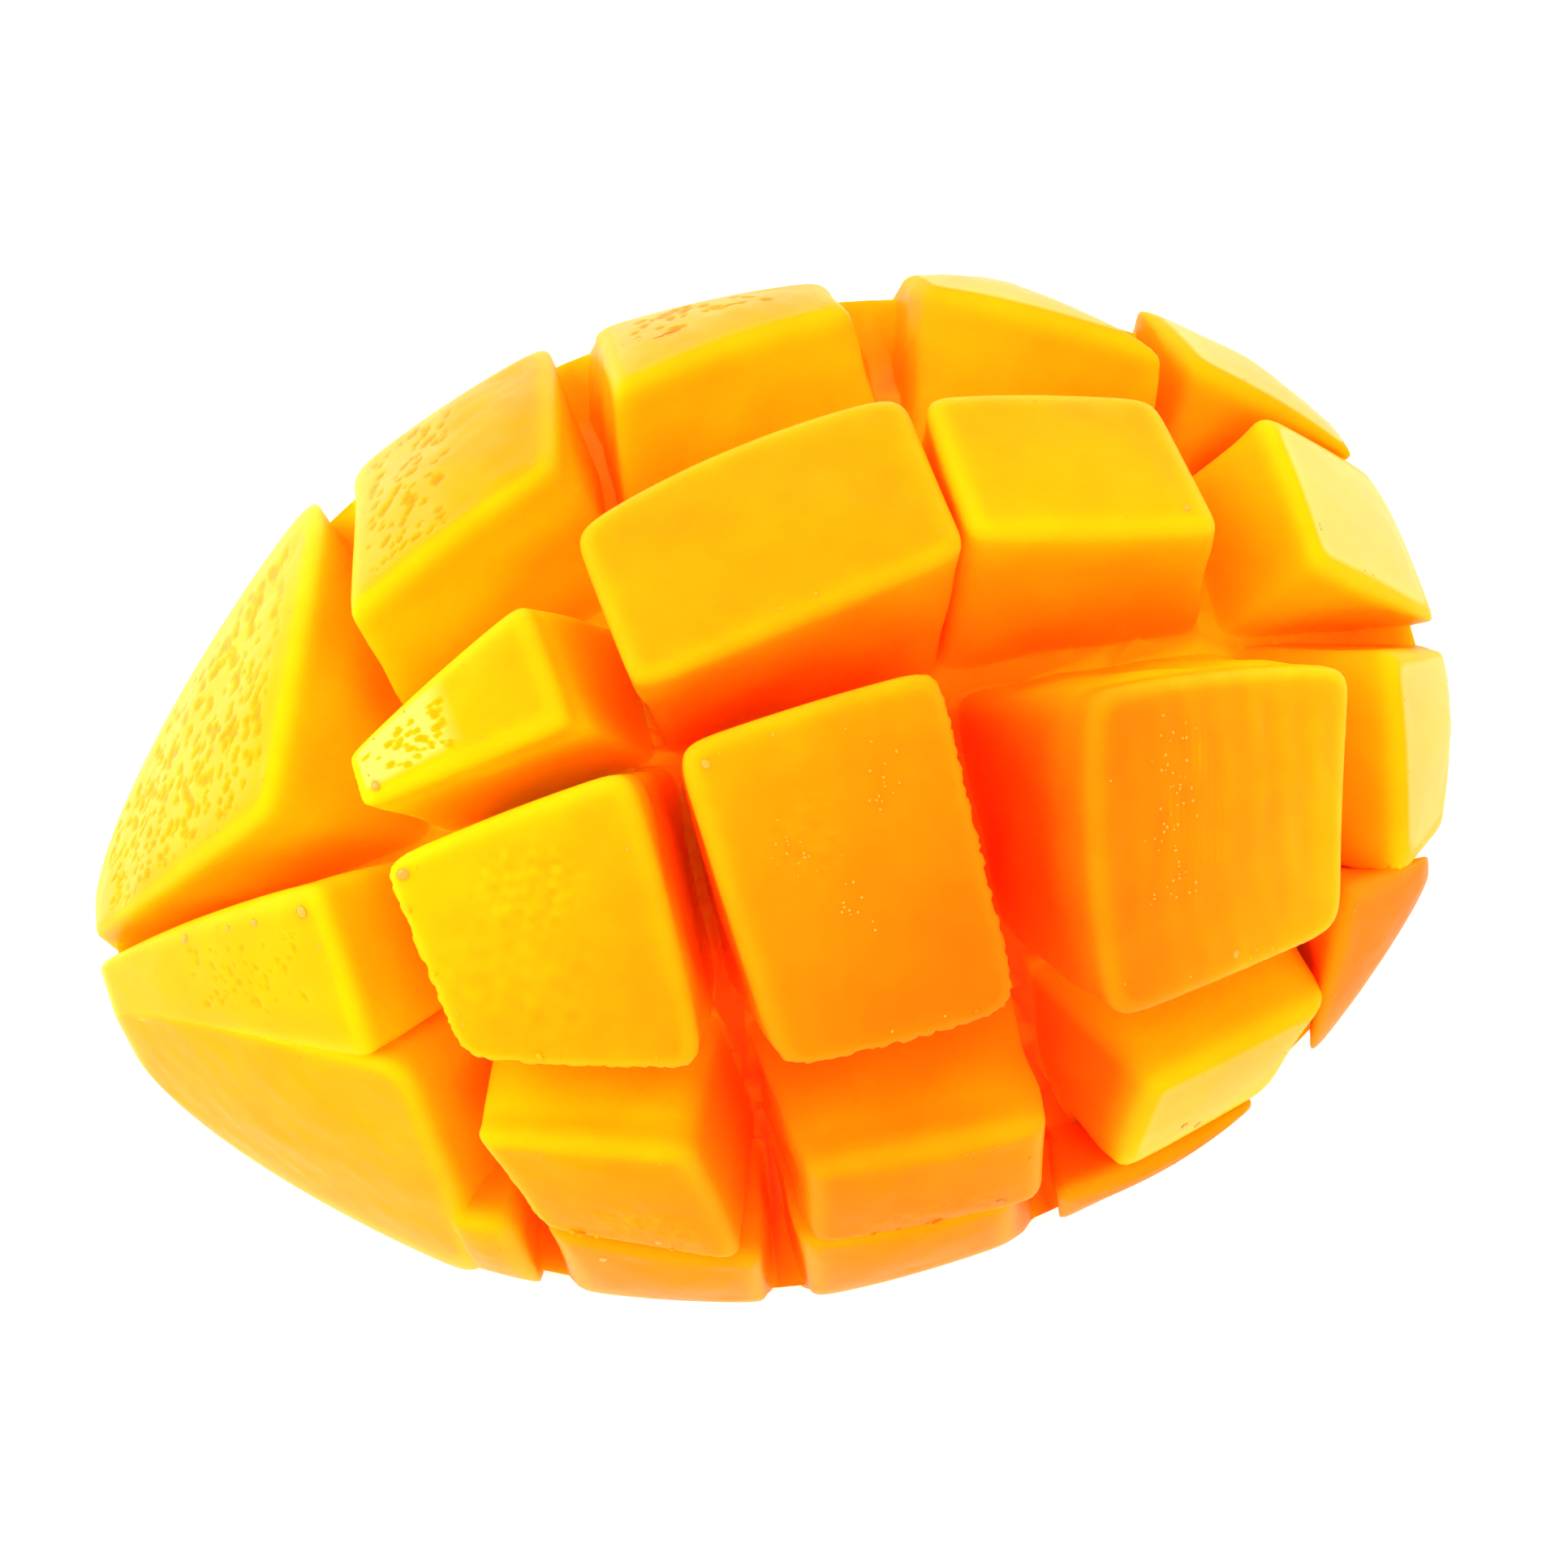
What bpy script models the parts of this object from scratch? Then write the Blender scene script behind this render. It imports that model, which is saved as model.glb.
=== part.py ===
"""A mango cheek scored into cubes and turned inside out, as one solid.

A cheek is the side of a mango cut away along the stone. Its flat flesh face is
scored with four cuts each way, down to just above the peel, and the peel is
then pushed up from below. The face becomes a dome, the cuts open, and the
cubes stand out like the spines of a hedgehog. The fruit stands on the rim of
its peel, over the hollow that the fingers pushed in.

X runs along the fruit, pointed end at -X. Y runs across it. Z is up, and the
rim stands on Z = 0. Sizes in this file are in millimetres, and MM turns them
into metres where the meshes are made.
"""

from math import cos, pi, radians, sin

import bmesh
import bpy
from mathutils import Matrix, Vector

MM = 0.001

# The dome that the cut faces lie on
HALF_LENGTH = 62.0
BACK_WIDTH = 45.5
FRONT_WIDTH = 45.2
DOME_HEIGHT = 46.0
TIP_TAPER = 0.42
TIP_SQUARENESS = 0.6
TIP_SLOPE = 0.15
BUTT_SQUARENESS = 0.22
SINK = 7.0
RIM_REACH = 0.92
END_X = 59.4
STEEPEST_REACH = 0.985

# The flesh under the cuts, the peel and the hollow below them
CUT_DEPTH_AT_CROWN = 18.0
CUT_DEPTH_AT_RIM = 3.0
BED = 1.0
HOLLOW_HEIGHT = 17.5
HOLLOW_SHARE = 0.74

# The cuts. A column cut lies at x = place + slant * y + bow * y * y, and a row
# cut at y = place + slant * x + bow * x * x. The opening is its width at the top.
COLUMN_CUTS = (
    {"place": -34.5, "slant": 0.0, "bow": 0.0025, "opening": 6.0},
    {"place": -9.3, "slant": 0.03, "bow": 0.0, "opening": 5.0},
    {"place": 19.0, "slant": 0.06, "bow": 0.0, "opening": 6.0},
    {"place": 49.0, "slant": 0.0, "bow": -0.006, "opening": 7.0},
)
SPLIT_CUT = {"place": -36.5, "slant": 0.0, "bow": 0.0, "opening": 0.5}
ROW_CUTS = (
    {"place": 29.5, "slant": 0.2, "bow": -0.008, "opening": 11.0},
    {"place": 5.5, "slant": 0.0, "bow": -0.0016, "opening": 6.0},
    {"place": -28.2, "slant": -0.12, "bow": 0.0048, "opening": 7.0},
    {"place": -39.2, "slant": -0.1, "bow": 0.006, "opening": 1.4},
)
K0, K1, K2, K3 = COLUMN_CUTS
R0, R1, R2, R3 = ROW_CUTS
RIM = None

# The cubes: the cuts at the left, right, back and front of each. Then how far each
# of those sides leans in from its cut (+) or out over it (-), because no two cubes
# splay alike, and how much it leans in more for each millimetre along the side.
CUBES = {
    "back_1": ((K0, K1, RIM, R0), (0.8, -1.0, 0.0, -2.7), (0.0, -0.15, 0.0, -0.1)),
    "back_2": ((K1, K2, RIM, R0), (2.0, 0.5, 0.0, 0.0), (0.0, 0.3, 0.0, 0.08)),
    "back_3": ((K2, K3, RIM, R0), (4.0, 2.0, 0.0, -0.9), (-0.55, 0.35, 0.0, -0.44)),
    "back_4": ((K3, RIM, RIM, R0), (-4.0, 3.0, 0.0, -6.5), (0.0, 0.0, 0.0, -0.35)),
    "upper_0": ((RIM, K0, RIM, R1), (0.0, 0.7, 0.0, 1.0), (0.0, -0.26, 0.0, 0.0)),
    "upper_1": ((K0, K1, R0, R1), (-1.6, 3.8, 0.8, -1.8), (-0.1, 0.12, 0.12, 0.0)),
    "upper_2": ((K1, K2, R0, R1), (-3.8, -2.3, -1.0, 0.8), (-0.12, 0.14, 0.0, 0.17)),
    "upper_3": ((K2, K3, R0, R1), (-2.7, 4.2, -1.3, 2.8), (-0.08, -0.08, -0.06, -0.12)),
    "upper_4": ((K3, RIM, R0, R1), (-3.3, 0.0, -4.0, -2.9), (0.13, 0.0, 0.0, -0.4)),
    "middle_0": ((RIM, K0, R1, R2), (0.0, 0.0, -2.6, -1.7), (0.0, 0.0, 0.23, 0.09)),
    "middle_1": ((K0, K1, R1, R2), (0.4, -1.0, 0.4, 0.6), (-0.07, 0.0, 0.0, 0.0)),
    "middle_2": ((K1, K2, R1, R2), (0.5, 1.4, -0.6, 0.8), (-0.07, 0.03, -0.04, 0.07)),
    "middle_3": ((K2, K3, R1, R2), (1.8, -1.6, 3.2, -3.1), (0.14, -0.12, 0.0, -0.07)),
    "middle_4": ((K3, RIM, R1, R2), (0.2, 0.0, 1.8, -2.4), (0.07, 0.0, -0.13, 0.3)),
    "lower_0": ((RIM, K0, R2, RIM), (0.0, -1.8, -6.5, 0.0), (0.0, -0.12, 0.0, 0.0)),
    "lower_1": ((K0, K1, R2, R3), (0.5, 2.0, -1.1, -0.5), (-0.17, 0.2, 0.07, -0.1)),
    "lower_2": ((K1, K2, R2, R3), (1.5, 0.0, 1.2, -0.7), (0.2, -0.25, 0.0, 0.0)),
    "lower_3": ((K2, K3, R2, R3), (4.5, 0.5, 1.4, -1.3), (0.6, -0.7, 0.0, 0.0)),
    "lower_4": ((K3, RIM, R2, RIM), (-5.7, 6.5, -3.5, 0.0), (0.15, 0.0, 0.2, 0.0)),
    "front_0": ((SPLIT_CUT, K0, R3, RIM), (0.0, -4.0, -1.0, 0.0), (0.0, 0.0, 0.0, 0.0)),
    "front_1": ((K0, K1, R3, RIM), (0.8, -1.5, -0.6, 0.0), (0.0, -0.2, 0.12, 0.0)),
    "front_2": ((K1, K2, R3, RIM), (-0.3, 4.2, -0.9, 0.0), (0.0, -0.2, 0.0, 0.0)),
    "front_3": ((K2, RIM, R3, RIM), (-6.0, 27.0, 0.0, 0.0), (0.0, 0.0, 0.0, 0.0)),
}

# How a cube is finished
CORNER_SHARE = 0.1
SIDE_STEPS = 3
EDGE_ROUNDING = 1.5
SHOULDER_SHARE = 0.3
LONGEST_ROUNDING = 0.4
SMALLEST_FACE_RING = 0.3
INNER_RING = 0.22
FACE_CROWN = 0.9
INNER_LIFT = 0.5
RIM_LIFT = 0.05
RIM_FLATNESS = 0.5
FOOT_SHARE = 0.15
RIM_TUCK = 0.97
RIM_FOOT_REACH = 0.75
SETTLING_STEPS = 40

# The bed and the hollow are turned as rings round the crown
RING_SIDES = 48
BED_RINGS = 9
HOLLOW_RINGS = 8
BELOW = 6.0

FLESH_COLOUR = (1.0, 0.50, 0.04, 1.0)
FLESH_ROUGHNESS = 0.3


def clear_scene():
    for item in list(bpy.data.objects):
        bpy.data.objects.remove(item, do_unlink=True)


def flesh_material():
    material = bpy.data.materials.new("mango_flesh")
    material.use_nodes = True
    shader = material.node_tree.nodes["Principled BSDF"]
    shader.inputs["Base Color"].default_value = FLESH_COLOUR
    shader.inputs["Roughness"].default_value = FLESH_ROUGHNESS
    shader.inputs["Metallic"].default_value = 0.0
    return material


def squareness(x):
    """The power of the dome's outline: 2 is an ellipse, and more is squarer."""
    share = BUTT_SQUARENESS if x > 0.0 else TIP_SQUARENESS
    return 2.0 + share * abs(x) / HALF_LENGTH


def half_width(x, side):
    """The dome's half width at x if its outline did not close at the ends."""
    width = BACK_WIDTH if side > 0.0 else FRONT_WIDTH
    taper = TIP_TAPER * (x / HALF_LENGTH) ** 2 if x < 0.0 else 0.0
    return width * (1.0 - taper)


def reach(x, y):
    """0 at the crown of the dome and 1 on its outline."""
    power = squareness(x)
    return abs(x / HALF_LENGTH) ** power + abs(y / half_width(x, y)) ** power


def dome_height(x, y):
    slope = 0.5
    if x < 0.0:
        slope += TIP_SLOPE * (x / HALF_LENGTH) ** 2
    return DOME_HEIGHT * max(1.0 - reach(x, y), 0.0) ** slope - SINK


def on_dome(x, y):
    return Vector((x, y, dome_height(x, y)))


def dome_normal(x, y):
    """The dome's outward direction, read a little inside the rim."""
    step = 0.1
    pull = 0.995
    while reach(x, y) > STEEPEST_REACH:
        x *= pull
        y *= pull
    slope_x = (dome_height(x + step, y) - dome_height(x - step, y)) / (2.0 * step)
    slope_y = (dome_height(x, y + step) - dome_height(x, y - step)) / (2.0 * step)
    return Vector((-slope_x, -slope_y, 1.0)).normalized()


def under_dome(x, y, extra=0.0):
    """The bottom of the cuts below a place on the dome."""
    rise = max(1.0 - reach(x, y), 0.0) ** 0.5
    depth = CUT_DEPTH_AT_RIM + (CUT_DEPTH_AT_CROWN - CUT_DEPTH_AT_RIM) * rise
    return on_dome(x, y) - dome_normal(x, y) * (depth + extra)


def foot_point(x, y):
    """Where a cube's foot is rooted: in the bed, or below the rim near its outer edge."""
    outward = min(max((reach(x, y) - RIM_FOOT_REACH) / (RIM_REACH - RIM_FOOT_REACH), 0.0), 1.0)
    below_rim = Vector((x * RIM_TUCK, y * RIM_TUCK, -BELOW))
    return under_dome(x, y, BED).lerp(below_rim, outward * outward * (3.0 - 2.0 * outward))


def cut_line(cut, along):
    return cut["place"] + cut["slant"] * along + cut["bow"] * along * along


def rim_y(x, side):
    """Where the rim is at x, behind the crown (side 1) or in front of it (side -1)."""
    power = squareness(x)
    room = max(RIM_REACH - abs(x / HALF_LENGTH) ** power, 0.0)
    return side * half_width(x, side) * room ** (1.0 / power)


def cube_middle(name):
    """About the middle of a cube's face, which its sides are turned round."""
    left, right, back, front = CUBES[name][0]
    x_left = -END_X if left is RIM else left["place"]
    x_right = END_X if right is RIM else right["place"]
    x = (x_left + x_right) / 2.0
    y_back = rim_y(x, 1.0) if back is RIM else cut_line(back, x)
    y_front = rim_y(x, -1.0) if front is RIM else cut_line(front, x)
    return x, (y_back + y_front) / 2.0


def cut_edge(cut, rim, along, lean, open_share, side):
    """The edge of a cube beside a cut, or beside the rim."""
    if cut is RIM:
        return rim - side * lean
    return cut_line(cut, along) - side * (cut["opening"] / 2.0 + lean) * open_share


def cube_place(name, across, down, open_share=1.0):
    """A place in a cube's cell: 0 to 1 from left to right and from back to front."""
    (left, right, back, front), leans, turns = CUBES[name]
    middle_x, middle_y = cube_middle(name)
    x = 0.0
    y = 0.0
    for _ in range(SETTLING_STEPS):
        lean_left, lean_right = [lean + turn * (y - middle_y) for lean, turn in zip(leans[:2], turns[:2])]
        x_left = max(cut_edge(left, -END_X, y, lean_left, open_share, -1.0), -END_X)
        x_right = min(cut_edge(right, END_X, y, lean_right, open_share, 1.0), END_X)
        x = 0.5 * x + 0.5 * (x_left * (1.0 - across) + x_right * across)
        lean_back, lean_front = [lean + turn * (x - middle_x) for lean, turn in zip(leans[2:], turns[2:])]
        rim_back = rim_y(x, 1.0)
        rim_front = rim_y(x, -1.0)
        y_back = min(cut_edge(back, rim_back, x, lean_back, open_share, 1.0), rim_back)
        y_front = max(cut_edge(front, rim_front, x, lean_front, open_share, -1.0), rim_front)
        y = 0.5 * y + 0.5 * (y_back * (1.0 - down) + y_front * down)
    return x, y


def rounded_square(corner):
    """Places round a unit square with cut-off corners, left to right along the back first."""
    sides = (
        ((corner, 0.0), (1.0, 0.0), (1.0 - corner, corner), -90.0),
        ((1.0, corner), (0.0, 1.0), (1.0 - corner, 1.0 - corner), 0.0),
        ((1.0 - corner, 1.0), (-1.0, 0.0), (corner, 1.0 - corner), 90.0),
        ((0.0, 1.0 - corner), (0.0, -1.0), (corner, corner), 180.0),
    )
    places = []
    for (start_x, start_y), (step_x, step_y), (centre_x, centre_y), turn in sides:
        for step in range(SIDE_STEPS + 1):
            gone = (1.0 - 2.0 * corner) * step / SIDE_STEPS
            places.append((start_x + step_x * gone, start_y + step_y * gone))
        middle = radians(turn + 45.0)
        places.append((centre_x + corner * cos(middle), centre_y + corner * sin(middle)))
    return places


def face_plane(points):
    """The middle and the outward direction of a ring of points."""
    middle = sum(points, Vector()) / len(points)
    normal = Vector()
    for first, second in zip(points, points[1:] + points[:1]):
        normal += (second - middle).cross(first - middle)
    return middle, normal.normalized()


def cube_rings(name):
    """A cube's rings from its foot in the bed to the middle of its face."""
    places = rounded_square(CORNER_SHARE)
    edge = [on_dome(*cube_place(name, across, down)) for across, down in places]
    middle, normal = face_plane(edge)
    crown = on_dome(*cube_place(name, 0.5, 0.5))
    at_rim = RIM in CUBES[name][0]
    flatness = RIM_FLATNESS if at_rim else 1.0
    lift = RIM_LIFT if at_rim else INNER_LIFT
    raise_face = normal * ((crown - middle).dot(normal) * lift)
    width = (edge[SIDE_STEPS + 2] - edge[-1]).length
    depth = (edge[0] - edge[2 * (SIDE_STEPS + 2)]).length

    def face_point(across, down):
        point = on_dome(*cube_place(name, across, down))
        point -= normal * ((point - middle).dot(normal) * flatness)
        bulge = (1.0 - (2.0 * across - 1.0) ** 2) * (1.0 - (2.0 * down - 1.0) ** 2)
        return point + raise_face + normal * (FACE_CROWN * bulge)

    def face_ring(inset, lower):
        across_share = max(1.0 - 2.0 * inset / width, SMALLEST_FACE_RING)
        down_share = max(1.0 - 2.0 * inset / depth, SMALLEST_FACE_RING)
        ring = []
        for across, down in places:
            point = face_point(0.5 + (across - 0.5) * across_share, 0.5 + (down - 0.5) * down_share)
            ring.append(point - normal * lower)
        return ring

    foot = []
    for across, down in places:
        foot.append(foot_point(*cube_place(name, across, down, FOOT_SHARE)))
    wall_top = []
    for top, base in zip(face_ring(0.0, 0.0), foot):
        drop = base - top
        wall_top.append(top + drop * min(EDGE_ROUNDING / drop.length, LONGEST_ROUNDING))
    shoulder = face_ring(EDGE_ROUNDING * SHOULDER_SHARE, EDGE_ROUNDING * SHOULDER_SHARE)
    face_edge = face_ring(EDGE_ROUNDING, 0.0)
    face_inner = face_ring(max(width, depth) * INNER_RING, 0.0)
    return [foot, wall_top, shoulder, face_edge, face_inner], face_point(0.5, 0.5)


def loft(name, rings, foot_middle, top_middle):
    """A closed mesh through rings of points, with a fan over each end."""
    count = len(rings[0])
    vertices = [point * MM for ring in rings for point in ring]
    faces = []
    for level in range(len(rings) - 1):
        for side in range(count):
            after = (side + 1) % count
            low = level * count
            high = low + count
            faces.append((low + after, low + side, high + side, high + after))
    vertices.append(foot_middle * MM)
    vertices.append(top_middle * MM)
    last = (len(rings) - 1) * count
    for side in range(count):
        after = (side + 1) % count
        faces.append((side, after, len(vertices) - 2))
        faces.append((last + after, last + side, len(vertices) - 1))
    mesh = bpy.data.meshes.new(name)
    mesh.from_pydata(vertices, [], faces)
    mesh.update()
    return bpy.data.objects.new(name, mesh)


def cube(name):
    rings, face_middle = cube_rings(name)
    return loft(name, rings, foot_point(*cube_place(name, 0.5, 0.5, FOOT_SHARE)), face_middle)


def outline_place(turn, level):
    """The plan place in a direction where the dome's reach comes to a level."""
    inside = 0.0
    outside = HALF_LENGTH
    for _ in range(SETTLING_STEPS):
        radius = (inside + outside) / 2.0
        if reach(radius * cos(turn), radius * sin(turn)) < level:
            inside = radius
        else:
            outside = radius
    return inside * cos(turn), inside * sin(turn)


def ring_turns():
    """Directions round the crown, clockwise from above like a cube's own rings."""
    return [-2.0 * pi * side / RING_SIDES for side in range(RING_SIDES)]


def bed():
    """The uncut flesh and peel that hold the cubes together."""
    rings = []
    for step in range(BED_RINGS, 0, -1):
        level = RIM_REACH * (step / BED_RINGS) ** 2
        rings.append([under_dome(*outline_place(turn, level)) for turn in ring_turns()])
    skirt = [Vector((point.x, point.y, -BELOW)) for point in rings[0]]
    return loft("mango_cheek", [skirt] + rings, Vector((0.0, 0.0, -BELOW)), under_dome(0.0, 0.0))


def hollow():
    """The space under the turned-out peel, as a cutter that runs below the rim."""
    rings = []
    for step in range(HOLLOW_RINGS, 0, -1):
        level = sin(pi / 2.0 * step / HOLLOW_RINGS) ** 2
        height = HOLLOW_HEIGHT * (1.0 - level) ** 0.5
        ring = []
        for turn in ring_turns():
            x, y = outline_place(turn, level)
            ring.append(Vector((x * HOLLOW_SHARE, y * HOLLOW_SHARE, height)))
        rings.append(ring)
    skirt = [Vector((point.x, point.y, -2.0 * BELOW)) for point in rings[0]]
    below = Vector((0.0, 0.0, -2.0 * BELOW))
    return loft("hollow_cutter", [skirt] + rings, below, Vector((0.0, 0.0, HOLLOW_HEIGHT)))


def floor_cutter():
    """Everything below the rim that the fruit stands on."""
    bpy.ops.mesh.primitive_cube_add(size=1.0, location=(0.0, 0.0, -BELOW * 2.0 * MM))
    cutter = bpy.context.object
    cutter.name = "floor_cutter"
    cutter.scale = (4.0 * HALF_LENGTH * MM, 4.0 * HALF_LENGTH * MM, 4.0 * BELOW * MM)
    return cutter


def as_cutter(item):
    item.hide_render = True
    item.display_type = "WIRE"
    return item


def boolean(target, operation, operand):
    """Joins or cuts the target with another solid, which is then removed."""
    modifier = target.modifiers.new(operand.name, "BOOLEAN")
    modifier.operation = operation
    modifier.solver = "EXACT"
    modifier.object = operand
    bpy.context.view_layer.objects.active = target
    target.select_set(True)
    bpy.ops.object.modifier_apply(modifier=modifier.name)
    bpy.data.objects.remove(operand, do_unlink=True)


def drop_crumbs(target):
    """Removes the crumbs and pockets that neighbouring cubes pinch off between them."""
    shape = bmesh.new()
    shape.from_mesh(target.data)
    seen = set()
    bodies = []
    for start in shape.verts:
        if start in seen:
            continue
        seen.add(start)
        body = [start]
        for vertex in body:
            for edge in vertex.link_edges:
                other = edge.other_vert(vertex)
                if other not in seen:
                    seen.add(other)
                    body.append(other)
        bodies.append(body)
    bodies.sort(key=len)
    crumbs = [vertex for body in bodies[:-1] for vertex in body]
    bmesh.ops.delete(shape, geom=crumbs, context="VERTS")
    shape.to_mesh(target.data)
    shape.free()


def centre_on_origin(target):
    """Puts the middle of the rim's outline over the origin."""
    corners = [Vector(corner) for corner in target.bound_box]
    middle = (corners[0] + corners[6]) / 2.0
    target.data.transform(Matrix.Translation((-middle.x, -middle.y, 0.0)))


def build():
    clear_scene()
    scene = bpy.context.scene
    cheek = bed()
    scene.collection.objects.link(cheek)

    for name in reversed(CUBES):
        piece = cube(name)
        scene.collection.objects.link(piece)
        boolean(cheek, "UNION", piece)
    space = as_cutter(hollow())
    scene.collection.objects.link(space)
    boolean(cheek, "DIFFERENCE", space)
    boolean(cheek, "DIFFERENCE", as_cutter(floor_cutter()))
    drop_crumbs(cheek)
    centre_on_origin(cheek)
    cheek.data.materials.clear()
    cheek.data.materials.append(flesh_material())
    cheek.data.shade_smooth()
    cheek.data.set_sharp_from_angle(angle=radians(40.0))


build()
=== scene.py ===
"""The looks of a mango cheek that is scored into cubes and turned inside out.

The sizes are in millimetres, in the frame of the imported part: X along the fruit
with its pointed end at -X, Y across it, Z up from the rim that it stands on.
"""

from math import cos, pi, radians, sin

import bpy
import numpy as np
from mathutils import Matrix, Vector
from mathutils.kdtree import KDTree


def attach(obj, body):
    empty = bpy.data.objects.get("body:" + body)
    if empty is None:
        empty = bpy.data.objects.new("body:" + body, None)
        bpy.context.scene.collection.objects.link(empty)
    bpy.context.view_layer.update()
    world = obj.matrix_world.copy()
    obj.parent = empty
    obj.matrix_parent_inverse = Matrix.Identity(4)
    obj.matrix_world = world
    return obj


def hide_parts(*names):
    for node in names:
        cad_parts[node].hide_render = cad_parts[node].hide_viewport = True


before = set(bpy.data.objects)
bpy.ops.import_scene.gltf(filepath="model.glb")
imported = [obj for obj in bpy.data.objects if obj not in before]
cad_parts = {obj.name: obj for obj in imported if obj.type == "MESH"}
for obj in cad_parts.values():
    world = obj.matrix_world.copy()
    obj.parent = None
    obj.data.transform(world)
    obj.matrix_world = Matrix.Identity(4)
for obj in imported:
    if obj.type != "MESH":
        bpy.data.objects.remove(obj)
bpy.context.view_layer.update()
MM = 0.001

# The scored flesh. One cheek of ripe fruit, cut four times each way with a thin
# knife down to just above the peel, and bent inside out so that the cuts open
# and the cubes stand out. The cubes are still one piece with the bed under them.
HALF_LENGTH = 62.0
BACK_WIDTH = 45.5
FRONT_WIDTH = 45.2
DOME_HEIGHT = 46.0
TIP_TAPER = 0.42
TIP_SQUARENESS = 0.6
TIP_SLOPE = 0.15
BUTT_SQUARENESS = 0.22
SINK = 7.0
RIM_REACH = 0.92
END_X = 59.4
CUT_DEPTH_AT_CROWN = 18.0
CUT_DEPTH_AT_RIM = 3.0
BED = 1.0
HOLLOW_HEIGHT = 17.5
HOLLOW_SHARE = 0.74
RIM_TUCK = 0.97
RIM_FOOT_REACH = 0.75
FOOT_SHARE = 0.15
BELOW = 6.0

# A column cut lies at x = place + slant * y + bow * y * y, a row cut at
# y = place + slant * x + bow * x * x, and its opening is its width at the top
COLUMN_CUTS = (
    {"place": -34.5, "slant": 0.0, "bow": 0.0025, "opening": 6.0},
    {"place": -9.3, "slant": 0.03, "bow": 0.0, "opening": 5.0},
    {"place": 19.0, "slant": 0.06, "bow": 0.0, "opening": 6.0},
    {"place": 49.0, "slant": 0.0, "bow": -0.006, "opening": 7.0},
)
SPLIT_CUT = {"place": -36.5, "slant": 0.0, "bow": 0.0, "opening": 0.5}
ROW_CUTS = (
    {"place": 29.5, "slant": 0.2, "bow": -0.008, "opening": 11.0},
    {"place": 5.5, "slant": 0.0, "bow": -0.0016, "opening": 6.0},
    {"place": -28.2, "slant": -0.12, "bow": 0.0048, "opening": 7.0},
    {"place": -39.2, "slant": -0.1, "bow": 0.006, "opening": 1.4},
)
K0, K1, K2, K3 = COLUMN_CUTS
R0, R1, R2, R3 = ROW_CUTS
RIM = None

# The cuts at the left, right, back and front of each cube. Then how far each of
# those sides leans in from its cut (+) or out over it (-), and how much it leans
# in more for each millimetre along the side
CUBES = {
    "back_1": ((K0, K1, RIM, R0), (0.8, -1.0, 0.0, -2.7), (0.0, -0.15, 0.0, -0.1)),
    "back_2": ((K1, K2, RIM, R0), (2.0, 0.5, 0.0, 0.0), (0.0, 0.3, 0.0, 0.08)),
    "back_3": ((K2, K3, RIM, R0), (4.0, 2.0, 0.0, -0.9), (-0.55, 0.35, 0.0, -0.44)),
    "back_4": ((K3, RIM, RIM, R0), (-4.0, 3.0, 0.0, -6.5), (0.0, 0.0, 0.0, -0.35)),
    "upper_0": ((RIM, K0, RIM, R1), (0.0, 0.7, 0.0, 1.0), (0.0, -0.26, 0.0, 0.0)),
    "upper_1": ((K0, K1, R0, R1), (-1.6, 3.8, 0.8, -1.8), (-0.1, 0.12, 0.12, 0.0)),
    "upper_2": ((K1, K2, R0, R1), (-3.8, -2.3, -1.0, 0.8), (-0.12, 0.14, 0.0, 0.17)),
    "upper_3": ((K2, K3, R0, R1), (-2.7, 4.2, -1.3, 2.8), (-0.08, -0.08, -0.06, -0.12)),
    "upper_4": ((K3, RIM, R0, R1), (-3.3, 0.0, -4.0, -2.9), (0.13, 0.0, 0.0, -0.4)),
    "middle_0": ((RIM, K0, R1, R2), (0.0, 0.0, -2.6, -1.7), (0.0, 0.0, 0.23, 0.09)),
    "middle_1": ((K0, K1, R1, R2), (0.4, -1.0, 0.4, 0.6), (-0.07, 0.0, 0.0, 0.0)),
    "middle_2": ((K1, K2, R1, R2), (0.5, 1.4, -0.6, 0.8), (-0.07, 0.03, -0.04, 0.07)),
    "middle_3": ((K2, K3, R1, R2), (1.8, -1.6, 3.2, -3.1), (0.14, -0.12, 0.0, -0.07)),
    "middle_4": ((K3, RIM, R1, R2), (0.2, 0.0, 1.8, -2.4), (0.07, 0.0, -0.13, 0.3)),
    "lower_0": ((RIM, K0, R2, RIM), (0.0, -1.8, -6.5, 0.0), (0.0, -0.12, 0.0, 0.0)),
    "lower_1": ((K0, K1, R2, R3), (0.5, 2.0, -1.1, -0.5), (-0.17, 0.2, 0.07, -0.1)),
    "lower_2": ((K1, K2, R2, R3), (1.5, 0.0, 1.2, -0.7), (0.2, -0.25, 0.0, 0.0)),
    "lower_3": ((K2, K3, R2, R3), (4.5, 0.5, 1.4, -1.3), (0.6, -0.7, 0.0, 0.0)),
    "lower_4": ((K3, RIM, R2, RIM), (-5.7, 6.5, -3.5, 0.0), (0.15, 0.0, 0.2, 0.0)),
    "front_0": ((SPLIT_CUT, K0, R3, RIM), (0.0, -4.0, -1.0, 0.0), (0.0, 0.0, 0.0, 0.0)),
    "front_1": ((K0, K1, R3, RIM), (0.8, -1.5, -0.6, 0.0), (0.0, -0.2, 0.12, 0.0)),
    "front_2": ((K1, K2, R3, RIM), (-0.3, 4.2, -0.9, 0.0), (0.0, -0.2, 0.0, 0.0)),
    "front_3": ((K2, RIM, R3, RIM), (-6.0, 27.0, 0.0, 0.0), (0.0, 0.0, 0.0, 0.0)),
}
EDGE_ROUNDING = 1.5
FACE_CROWN = 0.9
INNER_LIFT = 0.5
RIM_LIFT = 0.05
RIM_FLATNESS = 0.5
CORNER_POWER = 12.0
SETTLING_STEPS = 40


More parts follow.
